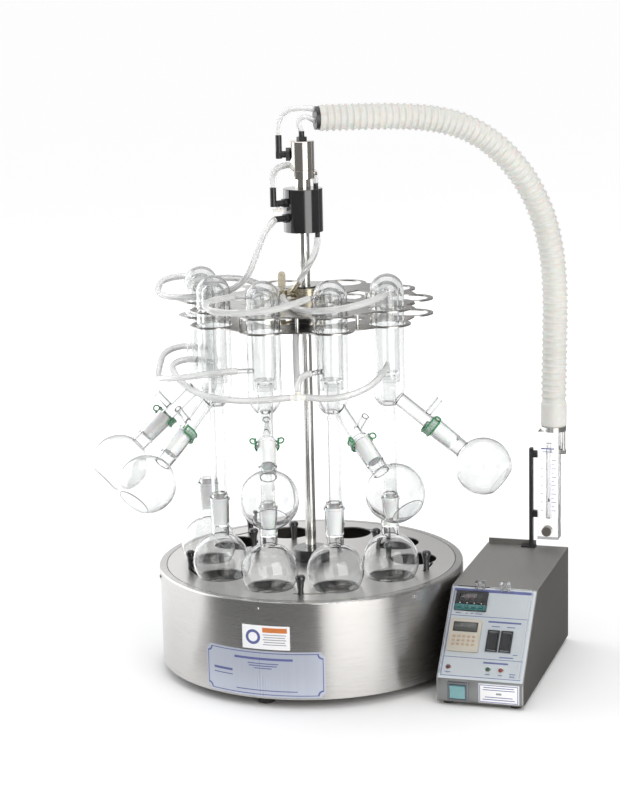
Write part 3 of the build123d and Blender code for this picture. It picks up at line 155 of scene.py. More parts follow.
M = {}
M["wall_steel"] = turned(surface("wall_steel", (0.50, 0.49, 0.475), (0.60, 0.59, 0.575), (0.22, 0.34), (4, 4, 900),
                                 6.0, 0.00001, 5.0, Metallic=1.0), 0.25, 0.85)
M["lid_steel"] = surface("lid_steel", (0.66, 0.645, 0.625), (0.76, 0.75, 0.73), (0.26, 0.40), (600, 5, 5), 5.0,
                         0.00001, 4.0, Metallic=1.0)
M["plate_steel"] = surface("plate_steel", (0.37, 0.36, 0.345), (0.47, 0.46, 0.44), (0.20, 0.32), (5, 500, 5), 5.0,
                           0.00001, 6.0, Metallic=1.0)
M["case_steel"] = surface("case_steel", (0.30, 0.29, 0.275), (0.37, 0.36, 0.345), (0.42, 0.54), (500, 6, 6), 5.0,
                          0.00001, 5.0, Metallic=1.0)
# steel made far darker than steel is, as painted shade for the parts inside the tank, the base plate and the
# controller's floor
M["tank_steel"] = surface("tank_steel", (0.13, 0.12, 0.105), (0.20, 0.185, 0.165), (0.30, 0.50), (5, 5, 200), 5.0,
                          0.00001, 8.0, Metallic=1.0)
M["screw_steel"] = surface("screw_steel", (0.62, 0.61, 0.59), (0.75, 0.74, 0.72), (0.14, 0.26), (1, 1, 30), 60.0,
                           0.0, 30.0, Metallic=1.0)
M["polished_steel"] = surface("polished_steel", (0.66, 0.65, 0.63), (0.74, 0.73, 0.71), (0.07, 0.13), (60, 60, 2),
                              8.0, 0.000002, 10.0, Metallic=1.0)
M["nickel"] = surface("nickel", (0.56, 0.53, 0.49), (0.66, 0.63, 0.59), (0.10, 0.17), (3, 3, 700), 5.0,
                      0.000004, 12.0, Metallic=1.0)
M["bronze"] = surface("bronze", (0.33, 0.19, 0.08), (0.42, 0.26, 0.12), (0.3, 0.42), (1, 1, 40), 40.0,
                      0.00001, Metallic=1.0)
M["brass"] = surface("brass", (0.46, 0.41, 0.31), (0.60, 0.56, 0.45), (0.22, 0.36), (1, 1, 12), 90.0,
                     0.00001, 20.0, Metallic=1.0)
M["gloss_black"] = surface("gloss_black", (0.008, 0.008, 0.009), (0.018, 0.018, 0.019), (0.10, 0.20), (1, 1, 1),
                           260.0, 0.000003, 20.0, Coat_Weight=0.6, Coat_Roughness=0.06)
M["satin_black"] = surface("satin_black", (0.010, 0.010, 0.011), (0.026, 0.026, 0.027), (0.26, 0.42), (1, 1, 1),
                           900.0, 0.00002, 20.0)
M["rubber_black"] = surface("rubber_black", (0.012, 0.012, 0.012), (0.035, 0.035, 0.034), (0.55, 0.75), (1, 1, 1),
                            700.0, 0.00004, 12.0)
M["white_nylon"] = surface("white_nylon", (0.70, 0.69, 0.65), (0.80, 0.79, 0.76), (0.32, 0.46), (1, 1, 1), 220.0,
                           0.00001, 16.0, Subsurface_Weight=0.25, Subsurface_Scale=0.002)
M["ribbed_white"] = surface("ribbed_white", (0.56, 0.557, 0.52), (0.65, 0.647, 0.612), (0.36, 0.50), (1, 1, 1),
                            160.0, 0.00002, 9.0, Subsurface_Weight=0.3, Subsurface_Scale=0.004)
M["clear_hose"] = surface("clear_hose", (0.80, 0.81, 0.80), (0.88, 0.88, 0.87), (0.14, 0.24), (1, 1, 1), 120.0,
                          0.0, 14.0, Transmission_Weight=0.62, IOR=1.42)
M["glass"] = surface("glass", (0.893, 0.899, 0.897), (0.922, 0.927, 0.925), (0.0, 0.012), (1, 1, 1), 30.0, 0.0,
                     8.0, Transmission_Weight=1.0, IOR=1.47)
M["ground_glass"] = surface("ground_glass", (0.93, 0.935, 0.935), (0.97, 0.975, 0.975), (0.30, 0.42), (1, 1, 1),
                            1500.0, 0.00001, 30.0, Transmission_Weight=0.22, IOR=1.3, Subsurface_Weight=0.3,
                            Subsurface_Scale=0.004)
M["clear_acrylic"] = surface("clear_acrylic", (0.96, 0.97, 0.975), (0.99, 0.99, 0.995), (0.02, 0.07), (1, 1, 1),
                             90.0, 0.0, 10.0, Transmission_Weight=0.95, IOR=1.46)
M["cover_clear"] = surface("cover_clear", (0.95, 0.955, 0.96), (0.98, 0.98, 0.985), (0.0, 0.02), (1, 1, 1), 90.0,
                           0.0, 10.0, Transmission_Weight=1.0, IOR=1.14)
M["clip_green"] = surface("clip_green", (0.026, 0.18, 0.065), (0.045, 0.25, 0.10), (0.24, 0.36), (1, 1, 1), 240.0,
                          0.00001, 30.0, Coat_Weight=0.3)
M["clip_band"] = surface("clip_band", (0.40, 0.56, 0.47), (0.52, 0.68, 0.58), (0.22, 0.34), (1, 1, 1), 240.0,
                         0.0, 30.0, Transmission_Weight=0.55, IOR=1.45)
M["panel_grey"] = surface("panel_grey", (0.50, 0.545, 0.57), (0.57, 0.61, 0.635), (0.34, 0.46), (1, 1, 1), 900.0,
                          0.00001, 8.0)
M["strip_steel"] = surface("strip_steel", (0.24, 0.245, 0.245), (0.31, 0.315, 0.31), (0.30, 0.42), (1, 1, 300),
                           5.0, 0.00001, 8.0, Metallic=0.9)
M["line_blue"] = surface("line_blue", (0.085, 0.10, 0.26), (0.12, 0.14, 0.33), (0.36, 0.5), (1, 1, 1), 800.0)
M["plate_blue"] = surface("plate_blue", (0.48, 0.515, 0.60), (0.54, 0.575, 0.655), (0.26, 0.38), (1, 200, 1), 8.0,
                          0.0, 9.0, Metallic=0.35)
M["label_white"] = surface("label_white", (0.76, 0.76, 0.77), (0.84, 0.84, 0.845), (0.34, 0.46), (1, 1, 1), 600.0)
M["label_orange"] = surface("label_orange", (0.52, 0.15, 0.035), (0.62, 0.20, 0.05), (0.34, 0.46), (1, 1, 1),
                            600.0)
M["print_grey"] = surface("print_grey", (0.24, 0.25, 0.28), (0.32, 0.33, 0.36), (0.4, 0.52), (1, 1, 1), 600.0)
M["timer_beige"] = surface("timer_beige", (0.50, 0.465, 0.39), (0.58, 0.54, 0.46), (0.38, 0.5), (1, 1, 1), 900.0,
                           0.00001)
M["key_tan"] = surface("key_tan", (0.42, 0.30, 0.20), (0.52, 0.39, 0.28), (0.36, 0.5), (1, 1, 1), 700.0)
M["lcd_grey"] = surface("lcd_grey", (0.055, 0.06, 0.05), (0.085, 0.09, 0.08), (0.10, 0.18), (1, 1, 1), 400.0,
                        Coat_Weight=0.6)
M["display_black"] = surface("display_black", (0.006, 0.006, 0.010), (0.015, 0.014, 0.022), (0.06, 0.12),
                             (1, 1, 1), 300.0, Coat_Weight=1.0, Coat_Roughness=0.03)
M["teal"] = surface("teal", (0.012, 0.13, 0.125), (0.02, 0.19, 0.18), (0.22, 0.34), (1, 1, 1), 300.0,
                    Coat_Weight=0.4)
M["power_teal"] = surface("power_teal", (0.13, 0.30, 0.32), (0.19, 0.38, 0.40), (0.14, 0.24), (1, 1, 1), 120.0,
                          Coat_Weight=0.7, Coat_Roughness=0.05)
M["frame_grey"] = surface("frame_grey", (0.10, 0.105, 0.12), (0.14, 0.145, 0.16), (0.3, 0.42), (1, 1, 1), 500.0)
M["lamp_red"] = surface("lamp_red", (0.085, 0.012, 0.018), (0.13, 0.02, 0.028), (0.08, 0.16), (1, 1, 1), 200.0,
                        Coat_Weight=0.8)
M["lamp_green"] = surface("lamp_green", (0.008, 0.045, 0.028), (0.014, 0.07, 0.045), (0.08, 0.16), (1, 1, 1),
                          200.0, Coat_Weight=0.8)
M["lamp_amber"] = surface("lamp_amber", (0.16, 0.02, 0.018), (0.22, 0.03, 0.025), (0.08, 0.16), (1, 1, 1), 200.0,
                          Coat_Weight=0.8)

NODE_FINISH = {
    "bath_feet": "rubber_black", "base_plate": "tank_steel", "bath_shell": "wall_steel", "rim_band": "wall_steel",
    "band_screws": "screw_steel", "inner_tank": "tank_steel", "immersion_heater": "tank_steel",
    "bearing_tube": "tank_steel", "bearing_bush": "bronze", "controller_case": "case_steel",
    "controller_floor": "tank_steel", "control_panel": "panel_grey", "temp_controller": "satin_black",
    "timer_module": "timer_beige", "rear_gland": "satin_black", "controller_feet": "rubber_black",
    "cover_hinges": "clear_acrylic", "meter_upright": "satin_black", "meter_body": "clear_acrylic",
    "flow_tube": "glass", "meter_fittings": "screw_steel", "union_housing": "nickel",
    "union_fittings": "satin_black", "post": "polished_steel", "collar": "gloss_black", "lid": "lid_steel",
    "lid_knobs": "gloss_black", "holder_plates": "plate_steel", "holder_spacers": "screw_steel",
    "hub_clamp": "gloss_black", "hub_fittings": "brass", "line_cross": "white_nylon",
    "manifold_block": "gloss_black", "manifold_fittings": "satin_black", "union_rotor": "nickel",
    "flip_cover": "cover_clear", "rocker_left": "gloss_black", "rocker_right": "gloss_black",
    "power_rocker": "power_teal", "temp_keys": "satin_black", "meter_knob": "nickel", "valve_lever": "brass",
    "stopcock_handle": "white_nylon",
}
for node_name, finish_name in NODE_FINISH.items():
    for one_slot in nodes[node_name].material_slots:
        one_slot.material = M[finish_name]

# ---------------------------------------------------------------- shared builders


def link_piece(name, data, finishes, body):
    """A new object with its finishes, riding on a body."""
    piece = bpy.data.objects.new(name, data)
    bpy.context.scene.collection.objects.link(piece)
    for finish in finishes:
        data.materials.append(M[finish])
    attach(piece, body)
    return piece


def mesh_piece(name, bm, finishes, body, sharp=32.0):
    """A mesh object, smooth apart from its sharp edges."""
    bmesh.ops.recalc_face_normals(bm, faces=bm.faces)
    for face in bm.faces:
        face.smooth = True
    for edge in bm.edges:
        edge.smooth = len(edge.link_faces) == 2 and edge.calc_face_angle() < math.radians(sharp)
    mesh = bpy.data.meshes.new(name)
    bm.to_mesh(mesh)
    bm.free()
    return link_piece(name, mesh, finishes, body)


def node_copy(name, node, finishes, body, choose):
    """A copy of a CAD node that stands for it, each face's finish chosen by where the face is."""
    mesh = nodes[node].data.copy()
    mesh.materials.clear()
    piece = link_piece(name, mesh, finishes, body)
    for face in mesh.polygons:
        face.material_index = choose(face.center, face.normal)
    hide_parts(node)
    return piece


def lathe(bm, outline, place, steps=48, finish=0):
    """Turns an outline of (radius, height) in millimetres about the local Z of place."""
    rings = []
    for radius, height in outline:
        if radius < 1e-6:
            rings.append([bm.verts.new(place @ mm((0, 0, height)))])
            continue
        ring = []
        for i in range(steps):
            a = 2 * math.pi * i / steps
            ring.append(bm.verts.new(place @ mm((radius * math.cos(a), radius * math.sin(a), height))))
        rings.append(ring)
    for low, high in zip(rings, rings[1:]):
        for i in range(steps):
            j = (i + 1) % steps
            corners = [low[i % len(low)], low[j % len(low)], high[j % len(high)], high[i % len(high)]]
            corners = list(dict.fromkeys(corners))
            if len(corners) > 2:
                bm.faces.new(corners).material_index = finish


def aim(origin, z_axis, x_hint=(0, 0, 1)):
    """A matrix at a point in metres whose Z looks along an axis."""
    z = Vector(z_axis).normalized()
    hint = Vector(x_hint)
    if abs(z.dot(hint)) > 0.99:
        hint = Vector((1, 0, 0))
    x = (hint - z * z.dot(hint)).normalized()
    return Matrix.Translation(origin) @ Matrix((x, z.cross(x), z)).transposed().to_4x4()


def rounded_outline(width, height, corner, steps=5):
    """Points round a rectangle with rounded corners, about its middle."""
    if corner <= 0:
        return [(width / 2, height / 2), (-width / 2, height / 2), (-width / 2, -height / 2),
                (width / 2, -height / 2)]
    points = []
    for quarter, (sx, sy) in enumerate(((1, 1), (-1, 1), (-1, -1), (1, -1))):
        for i in range(steps + 1):
            a = math.radians(90 * quarter + 90 * i / steps)
            points.append((sx * (width / 2 - corner) + corner * math.cos(a),
                           sy * (height / 2 - corner) + corner * math.sin(a)))
    return points


def tablet(bm, at, u, t, width, height, low, high, corner=0.6, edge=0.25, finish=0):
    """A thin rounded tablet with eased edges on a face given by at(u, t, n)."""
    edge = min(edge, (high - low) * 0.7, width * 0.3, height * 0.3)
    rings = []
    for inset, n in ((0.0, low), (0.0, high - edge), (edge * 0.3, high - edge * 0.3), (edge, high)):
        outline = rounded_outline(width - 2 * inset, height - 2 * inset, max(corner - inset, 0.0))
        if corner > 0 and corner - inset <= 0:
            outline = rounded_outline(width - 2 * inset, height - 2 * inset, 0.01)
        rings.append([bm.verts.new(at(u + x, t + y, n)) for x, y in outline])
    count = len(rings[0])
    for low_ring, high_ring in zip(rings, rings[1:]):
        for i in range(count):
            j = (i + 1) % count
            bm.faces.new((low_ring[i], low_ring[j], high_ring[j], high_ring[i])).material_index = finish
    bm.faces.new(rings[-1]).material_index = finish
    bm.faces.new(list(reversed(rings[0]))).material_index = finish


def cord_curve(name, points, radius, finish, body):
    """A hose along one smooth line with these control points in metres."""
    data = bpy.data.curves.new(name, "CURVE")
    data.dimensions = "3D"
    data.resolution_u = 12
    data.bevel_depth = radius
    data.bevel_resolution = 6
    data.use_fill_caps = True
    spline = data.splines.new("NURBS")
    spline.points.add(len(points) - 1)
    for point, place in zip(spline.points, points):
        point.co = (*place, 1.0)
    spline.order_u = 3
    spline.use_endpoint_u = True
    return link_piece(name, data, [finish], body)


# ---------------------------------------------------------------- the carousel's hoses
HOSE_D = 0.0095
LOWER, UPPER = 476.0, 582.0          # heights of the condensers' hose barbs
BARB_REACH, BARB_TURN = 38.0, -90.0
ARM_BEARINGS = (-68.0, -46.0, 2.0, 38.0, 86.0)
STATION_R = 154.0
STATION_BEARINGS = [-95.0 + 36.0 * k for k in range(5)]


def barb_tip(k, level):
    """End of a condenser's hose barb, in millimetres."""
    base = spot(STATION_R, STATION_BEARINGS[k], level) / MM
    return tuple(base + spot(BARB_REACH, ARM_BEARINGS[k] + BARB_TURN) / MM)


HUB_HOSES = {
    "hose_manifold_to_1": ("upper_hoses", 0.377, [
        tuple(spot(50.0, -55.0, 676.0) / MM), (-53, -38.5, 665), (-64, -50, 642), (-73, -58, 617), (-84, -62, 595),
        (-103, -57, 580), (-126, -45, 571), (-155, -37, 567), (-186, -33, 565.5), (-208, -16, 566), (-217, 10, 568),
        (-217.5, 34, 571), (-216, 55, 575), (-205.9, 68.9, 578.5), (-189, 72.2, 581), (-173.9, 64, 582),
        barb_tip(0, UPPER)]),
    "hose_manifold_to_hub": ("upper_hoses", 0.072, [
        (20, -8, 646), (19.5, -10, 634), (14.5, -15, 621), (6.5, -18.5, 608), (-1, -18.6, 595),
        (-8.2, -16.56, 582.12)]),
    "hose_manifold_loop": ("upper_hoses", 0.128, [
        (-43, -25, 722), (-43.4, -24.6, 733), (-41, -13, 744.5), (-31, 6, 749.5), (-15, 25, 749.5), (3, 33, 746),
        (14.5, 27, 741), (19, 16.3, 733), (19, 16, 722.5)]),
    "hose_valve_to_5": ("upper_hoses", 0.281, [
        (-32.21, -37.43, 564), (-31.5, -54, 562.5), (-27, -79, 560.7), (-20, -108, 560.7), (-10, -139, 561.5),
        (5, -168, 563.5), (27, -187, 567), (55, -194, 571), (83, -186, 576), (103, -169, 580.5),
        barb_tip(4, UPPER)]),
    "hose_hub_to_2": ("upper_hoses", 0.170, [
        (-35.45, 6.25, 564), (-50, 8, 567), (-68, 5, 578), (-90, -5, 587), (-115, -14, 590.5), (-137, -17, 590),
        (-155.3, -16.9, 588), (-166.4, -27.9, 585.5), (-166.5, -43.5, 583), barb_tip(1, UPPER)]),
    "hose_3_to_4": ("upper_hoses", 0.225, [
        barb_tip(2, UPPER), (-122, -144.3, 581), (-139, -159, 577), (-138.5, -182, 573), (-122, -198, 570),
        (-96, -202, 569), (-66, -203, 570), (-37, -200, 573), (-13, -188, 578.5), barb_tip(3, UPPER)]),
    "hose_hub_to_cross": ("lower_hoses", 0.172, [
        (-9.92, -34.61, 520), (-14, -51, 515.5), (-15.5, -72, 501), (-15, -94, 480), (-14.5, -121, 461),
        (-13.5, -153, 449.5), (-13, -185, 447)]),
    "hose_cross_to_5": ("lower_hoses", 0.150, [
        (-2, -196, 447), (20, -198.5, 444.5), (49, -201, 446.5), (79, -191, 454), (101, -171, 465),
        barb_tip(4, LOWER)]),
    "hose_cross_to_2": ("lower_hoses", 0.302, [
        (-24, -196, 447), (-46, -197, 445.5), (-78, -199, 444), (-111, -190, 444), (-141, -169, 445.5),
        (-164, -140, 449), (-180, -109, 455), (-191, -80, 462), (-197, -53.5, 469), (-185.5, -41, 474),
        (-168.4, -41.7, 476), barb_tip(1, LOWER)]),
    "hose_cross_to_4": ("lower_hoses", 0.041, [
        (-13, -196, 456), (-13.2, -195.6, 467), (-6.5, -184.5, 475.5), barb_tip(3, LOWER)]),
    "hose_3_to_1": ("lower_hoses", 0.347, [
        barb_tip(2, LOWER), (-118, -144, 475.5), (-146, -143, 472), (-177, -131, 466), (-201, -103, 459.5),
        (-214, -68, 453.5), (-218.5, -30, 450.5), (-219, 6, 453), (-218, 34, 458.5), (-216, 55, 465),
        (-205.9, 68.9, 470.5), (-189, 72.2, 474.5), (-173.9, 64, 476), barb_tip(0, LOWER)]),
}
for name, (node, length, route) in HUB_HOSES.items():
    hose = cord_curve(name, [mm(p) for p in route], HOSE_D / 2, "clear_hose", "carousel")
    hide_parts(node)

# ---------------------------------------------------------------- the supply line
HOSE_BEARING = math.radians(11.0)


def in_hose_plane(s, z):
    """A point in the upright plane that the corrugated hose hangs in, in metres."""
    return mm((s * math.cos(HOSE_BEARING), s * math.sin(HOSE_BEARING), z))


SUPPLY = {
    "supply_inlet_tube": (0.0084, 0.080, [mm(p) for p in ((-33.5, 0, 795), (-34.5, 0, 812), (-23, 0.6, 830),
                                                          (-2, 1.8, 834))] + [in_hose_plane(20, 831)]),
    "supply_outlet_tube": (0.0072, 0.044, [mm(p) for p in ((0, 0, 800), (-5.5, -0.3, 810), (-0.5, 0.3, 820),
                                                           (10.5, 2, 820.5))] + [in_hose_plane(20, 813)]),
}
for name, (across, length, route) in SUPPLY.items():
    tube = cord_curve(name, route, across / 2, "clear_hose", "base")
    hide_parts("supply_tubes")

CORRUGATED_R = 20.0
RIB_PITCH = 9.6
VALLEY_R = 17.6
RIB_SHARPNESS = 2.4                  # narrow ribs and wide valleys
SMOOTH_START, SMOOTH_END = 7.0, 40.0 # plain lengths at the two ends
START_INSET, START_ROUND = 1.0, 0.9
CUFF_R, CUFF_FLARE, CUFF_EDGE, CUFF_ROUND = 19.7, 5.0, 4.0, 2.6
CORRUGATED_ROUTE = [in_hose_plane(s, z) for s, z in (
    (26, 818), (92, 818), (156, 816), (212, 809), (262, 790), (306, 756), (341, 711), (366, 658), (379, 600),
    (383, 541), (382.4, 474), (381, 406), (381, 338))]


def spline_points(route):
    """Points read from the smooth line with these control points."""
    data = bpy.data.curves.new("guide", "CURVE")
    data.dimensions = "3D"
    data.resolution_u = 24
    spline = data.splines.new("NURBS")
    spline.points.add(len(route) - 1)
    for point, place in zip(spline.points, route):
        point.co = (*place, 1.0)
    spline.order_u = 3
    spline.use_endpoint_u = True
    guide = bpy.data.objects.new("guide", data)
    bpy.context.scene.collection.objects.link(guide)
    bpy.context.view_layer.update()
    mesh = bpy.data.meshes.new_from_object(guide)
    points = [v.co.copy() for v in mesh.vertices]
    bpy.data.objects.remove(guide)
    bpy.data.curves.remove(data)
    bpy.data.meshes.remove(mesh)
    return points


def ribbed_radius(s, total):
    """Outside radius of the corrugated hose in millimetres, s along it."""
    if s < SMOOTH_START:
        return CORRUGATED_R - START_INSET - START_ROUND * (1 - s / SMOOTH_START) ** 2
    if s > total - SMOOTH_END:
        left = total - s
        flare = min(1.0, (SMOOTH_END - left) / CUFF_FLARE)
        rounded = CUFF_ROUND * max(0.0, 1 - left / CUFF_EDGE) ** 2
        return VALLEY_R + (CUFF_R - VALLEY_R) * flare - rounded
    phase = 2 * math.pi * (s - SMOOTH_START) / RIB_PITCH
    return VALLEY_R + (CORRUGATED_R - VALLEY_R) * (0.5 - 0.5 * math.cos(phase)) ** RIB_SHARPNESS


line = spline_points(CORRUGATED_ROUTE)
steps = [0.0]
for before, after in zip(line, line[1:]):
    steps.append(steps[-1] + (after - before).length)
line_length = steps[-1]
sideways = Vector((-math.sin(HOSE_BEARING), math.cos(HOSE_BEARING), 0.0))
RING_STEP, RING_SIDES = 0.0008, 56
bm = bmesh.new()
rings, at_step = [], 0
ring_count = int(line_length / RING_STEP)
for r in range(ring_count + 1):
    s = line_length * r / ring_count
    while at_step < len(steps) - 2 and steps[at_step + 1] < s:
        at_step += 1
    run = line[at_step + 1] - line[at_step]
    centre = line[at_step] + run * ((s - steps[at_step]) / max(run.length, 1e-9))
    up = sideways.cross(run.normalized())
    radius = ribbed_radius(s / MM, line_length / MM) * MM
    ring = []
    for i in range(RING_SIDES):
        a = 2 * math.pi * i / RING_SIDES
        ring.append(bm.verts.new(centre + (sideways * math.cos(a) + up * math.sin(a)) * radius))
    rings.append(ring)
for low, high in zip(rings, rings[1:]):
    for i in range(RING_SIDES):
        j = (i + 1) % RING_SIDES
        bm.faces.new((low[i], low[j], high[j], high[i]))
bm.faces.new(rings[0])
bm.faces.new(rings[-1])
ribbed = mesh_piece("corrugated_hose_ribbed", bm, ["ribbed_white"], "base", sharp=60.0)
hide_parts("corrugated_hose")

# ---------------------------------------------------------------- glassware
FLASK_RIM_Z = 277.27
ARM_Z, ARM_DROP, ARM_RIM = 435.7, math.radians(40.0), 80.9
JOINT_LENGTH = 40.0
CONE_INNER_R, CONE_OUTER_R = 9.6, 12.3       # a ground cone lies between these


def arm_axis(k):
    """Start of a condenser's side arm in metres, and the way the arm runs."""
    flat = spot(1.0, ARM_BEARINGS[k]) / MM
    way = flat * math.cos(ARM_DROP) - Vector((0, 0, math.sin(ARM_DROP)))
    return spot(STATION_R, STATION_BEARINGS[k], ARM_Z), way


def along_and_off(point, origin, axis):
    """How far a point lies along an axis and off it, in millimetres."""
    offset = point - origin
    along = offset.dot(axis)
    return along / MM, (offset - axis * along).length / MM


def clear(centre, normal):
    """The finish of every face of a clear flask."""
    return 0


def on_cone(along, off, start, end):
    """Whether a face lies on a ground cone between two stations of its axis."""
    return start < along < end and CONE_INNER_R < off < CONE_OUTER_R


# lamps light the ground cones through the clear flasks' necks, so the flasks cast no shadow
node_copy("base_flasks_clear", "base_flasks", ["glass"], "carousel", clear).visible_shadow = False
for k in range(5):
    origin, axis = arm_axis(k)
    node_copy(f"receiver_{k + 1}_clear", f"receiver_{k + 1}", ["glass"], f"receiver_{k + 1}_body",
              clear).visible_shadow = False

    def condenser_finish(centre, normal, k=k, origin=origin, axis=axis):
        """The condenser's two male joints are ground, the rest of it is clear."""
        standpipe = along_and_off(centre, spot(STATION_R, STATION_BEARINGS[k]), Vector((0, 0, 1)))
        if on_cone(*standpipe, FLASK_RIM_Z - JOINT_LENGTH, FLASK_RIM_Z):
            return 1
        return int(on_cone(*along_and_off(centre, origin, axis), ARM_RIM - 1, ARM_RIM + JOINT_LENGTH))

    node_copy(f"condenser_{k + 1}_clear", f"condenser_{k + 1}", ["glass", "ground_glass"], "carousel",
              condenser_finish)


def arc(bm, place, section, radius, start, end, count=48, finish=0):
    """Sweeps a closed section of (outward, along) millimetres round the Z of place, from start to end degrees."""
    closed = end - start >= 360
    rings = []
    for i in range(count + (0 if closed else 1)):
        a = math.radians(start + (end - start) * i / count)
        rings.append([bm.verts.new(place @ mm(((radius + out) * math.cos(a), (radius + out) * math.sin(a), up)))
                      for out, up in section])
    around = list(zip(rings, rings[1:])) + ([(rings[-1], rings[0])] if closed else [])
    for a, b in around:
        for i in range(len(section)):
            j = (i + 1) % len(section)
            bm.faces.new((a[i], a[j], b[j], b[i])).material_index = finish
    if not closed:
        bm.faces.new(rings[0]).material_index = finish
        bm.faces.new(list(reversed(rings[-1]))).material_index = finish


def wire_section(radius, sides=10):
    """A round wire's section."""
    return [(radius * math.cos(2 * math.pi * i / sides), radius * math.sin(2 * math.pi * i / sides))
            for i in range(sides)]


RAIL_AT = (75.4, 85.9)       # along the side arm, either side of the two glass rims
RAIL_RADIUS, RAIL_WIRE, RAIL_HALF = 16.6, 1.3, 108.0
BAND = [(-0.5, -4.6), (0.1, -4.6), (0.1, 4.6), (-0.5, 4.6)]
LOOP_RADIUS, LOOP_WIRE, LOOP_OUT = 4.4, 1.15, 20.4
CLIP_TURNS = (152.0, -152.0, 180.0, 180.0, 152.0)    # middle of each clip's grip, from the nub's side

bm = bmesh.new()
for k, turn in enumerate(CLIP_TURNS):
    origin, axis = arm_axis(k)
    nub = aim(origin, axis).col[0].xyz
    across = axis.cross(nub)
    middle = nub * math.cos(math.radians(turn)) + across * math.sin(math.radians(turn))
    for along in RAIL_AT:
        arc(bm, aim(origin + axis * along * MM, axis, middle), wire_section(RAIL_WIRE), RAIL_RADIUS,
            -RAIL_HALF, RAIL_HALF)
    belt = origin + axis * sum(RAIL_AT) / 2 * MM
    arc(bm, aim(belt, axis, middle), BAND, RAIL_RADIUS, -RAIL_HALF + 8, RAIL_HALF - 8, finish=1)
    for end in (-RAIL_HALF, RAIL_HALF):
        a = math.radians(end)
        out = middle * math.cos(a) + axis.cross(middle) * math.sin(a)
        arc(bm, aim(belt + out * LOOP_OUT * MM, axis.cross(out), out), wire_section(LOOP_WIRE, 8), LOOP_RADIUS,
            0, 360, 28)
clips = mesh_piece("joint_clips_sprung", bm, ["clip_green", "clip_band"], "carousel")
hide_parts("joint_clips")

# ---------------------------------------------------------------- plates on the bath wall
WALL_R = 227.0


def on_wall(middle, z_middle, proud):
    """Maps (across, up) in millimetres round a middle bearing on to the bath wall."""
    def place(x, y, n=0.0):
        return spot(WALL_R + proud + n, middle + math.degrees(x / WALL_R), z_middle + y)
    return place


def notched(x, width, height, notch):
    """Half height of a plate with quarter-round notches at its corners, x from its middle."""
    from_end = width / 2 - abs(x)
    if from_end >= notch:
        return height / 2
    return height / 2 - math.sqrt(max(notch ** 2 - from_end ** 2, 0.0))


def wall_sheet(bm, place, width, height, notch, thick, x=0.0, y=0.0, finish=0):
    """A thin sheet bent to the wall, built as columns."""
    count = max(8, int(width / 1.2))
    columns = []
    for i in range(count + 1):
        across = -width / 2 + width * i / count
        half = notched(across, width, height, notch) if notch else height / 2
        half = max(half, 0.05)
        columns.append([bm.verts.new(place(x + across, y + sign * half, n))
                        for n in (0.0, thick) for sign in (-1, 1)])
    for a, b in zip(columns, columns[1:]):
        for i, j in ((2, 3), (3, 1), (1, 0), (0, 2)):
            bm.faces.new((a[i], b[i], b[j], a[j])).material_index = finish
    for end in (columns[0], columns[-1]):
        bm.faces.new((end[0], end[1], end[3], end[2])).material_index = finish


def wall_line(bm, place, outline, low, high, finish=0):
    """A raised line between an outer and an inner outline on the wall."""
    outer, inner = outline
    rings = [[bm.verts.new(place(x, y, n)) for x, y in loop] for loop, n in
             ((outer, low), (outer, high), (inner, high), (inner, low))]
    count = len(outer)
    for a, b in zip(rings, rings[1:] + rings[:1]):
        for i in range(count):
            j = (i + 1) % count
            bm.faces.new((a[i], a[j], b[j], b[i])).material_index = finish


def notched_loop(width, height, notch, steps=7, fill=40):
    """A closed outline with quarter-round notches, its long runs divided so that it bends with the wall."""
    loop = []
    for quarter, (sx, sy) in enumerate(((1, 1), (-1, 1), (-1, -1), (1, -1))):
        corner = [(sx * (width / 2 - notch * math.sin(math.radians(90 * i / steps))),
                   sy * (height / 2 - notch * math.cos(math.radians(90 * i / steps)))) for i in range(steps + 1)]
        if quarter % 2:
            corner.reverse()
        loop += corner
        if quarter % 2 == 0:
            (x0, y0), x1 = corner[-1], -corner[-1][0]
            loop += [(x0 + (x1 - x0) * i / fill, y0) for i in range(1, fill)]
    return loop


nameplate_at = on_wall(-19.0, 51.0, 0.05)
bm = bmesh.new()
wall_sheet(bm, nameplate_at, 184.0, 68.0, 6.0, 0.7)
mesh_piece("nameplate", bm, ["plate_blue"], "base")
bm = bmesh.new()
wall_line(bm, nameplate_at, (notched_loop(179.0, 63.0, 6.5), notched_loop(176.6, 60.6, 7.4)), 0.6, 0.85)
for x, y, width, height in ((2, 22, 88, 3.4), (2, 15, 46, 1.3), (2, 11.5, 42, 1.3), (2, 8, 26, 1.3),
                            (-62, 1, 32, 3.4), (-62, -6, 32, 1.3), (6, -25, 92, 1.3)):
    wall_sheet(bm, nameplate_at, width, height, 0.0, 0.85, x, y)
mesh_piece("nameplate_lines", bm, ["line_blue"], "base")

label_at = on_wall(-17.2, 105.0, 0.05)
bm = bmesh.new()
wall_sheet(bm, label_at, 71.0, 35.0, 0.0, 0.35)
wall_sheet(bm, label_at, 36.0, 7.0, 0.0, 0.5, 13.5, 11.0, 1)
for line_index in range(5):
    wall_sheet(bm, label_at, 34.0 - 3.0 * (line_index % 2), 1.2, 0.0, 0.5, 13.0, 4.0 - 3.6 * line_index, 2)
RING_ACROSS, RING_OUTER_R, RING_INNER_R = -19.0, 11.0, 7.0
disc, hole = ([(radius * math.cos(2 * math.pi * i / 48) + RING_ACROSS, radius * math.sin(2 * math.pi * i / 48))
               for i in range(48)] for radius in (RING_OUTER_R, RING_INNER_R))
wall_line(bm, label_at, (disc, hole), 0.3, 0.5, 3)
mesh_piece("care_label", bm, ["label_white", "label_orange", "print_grey", "line_blue"], "base", sharp=50)

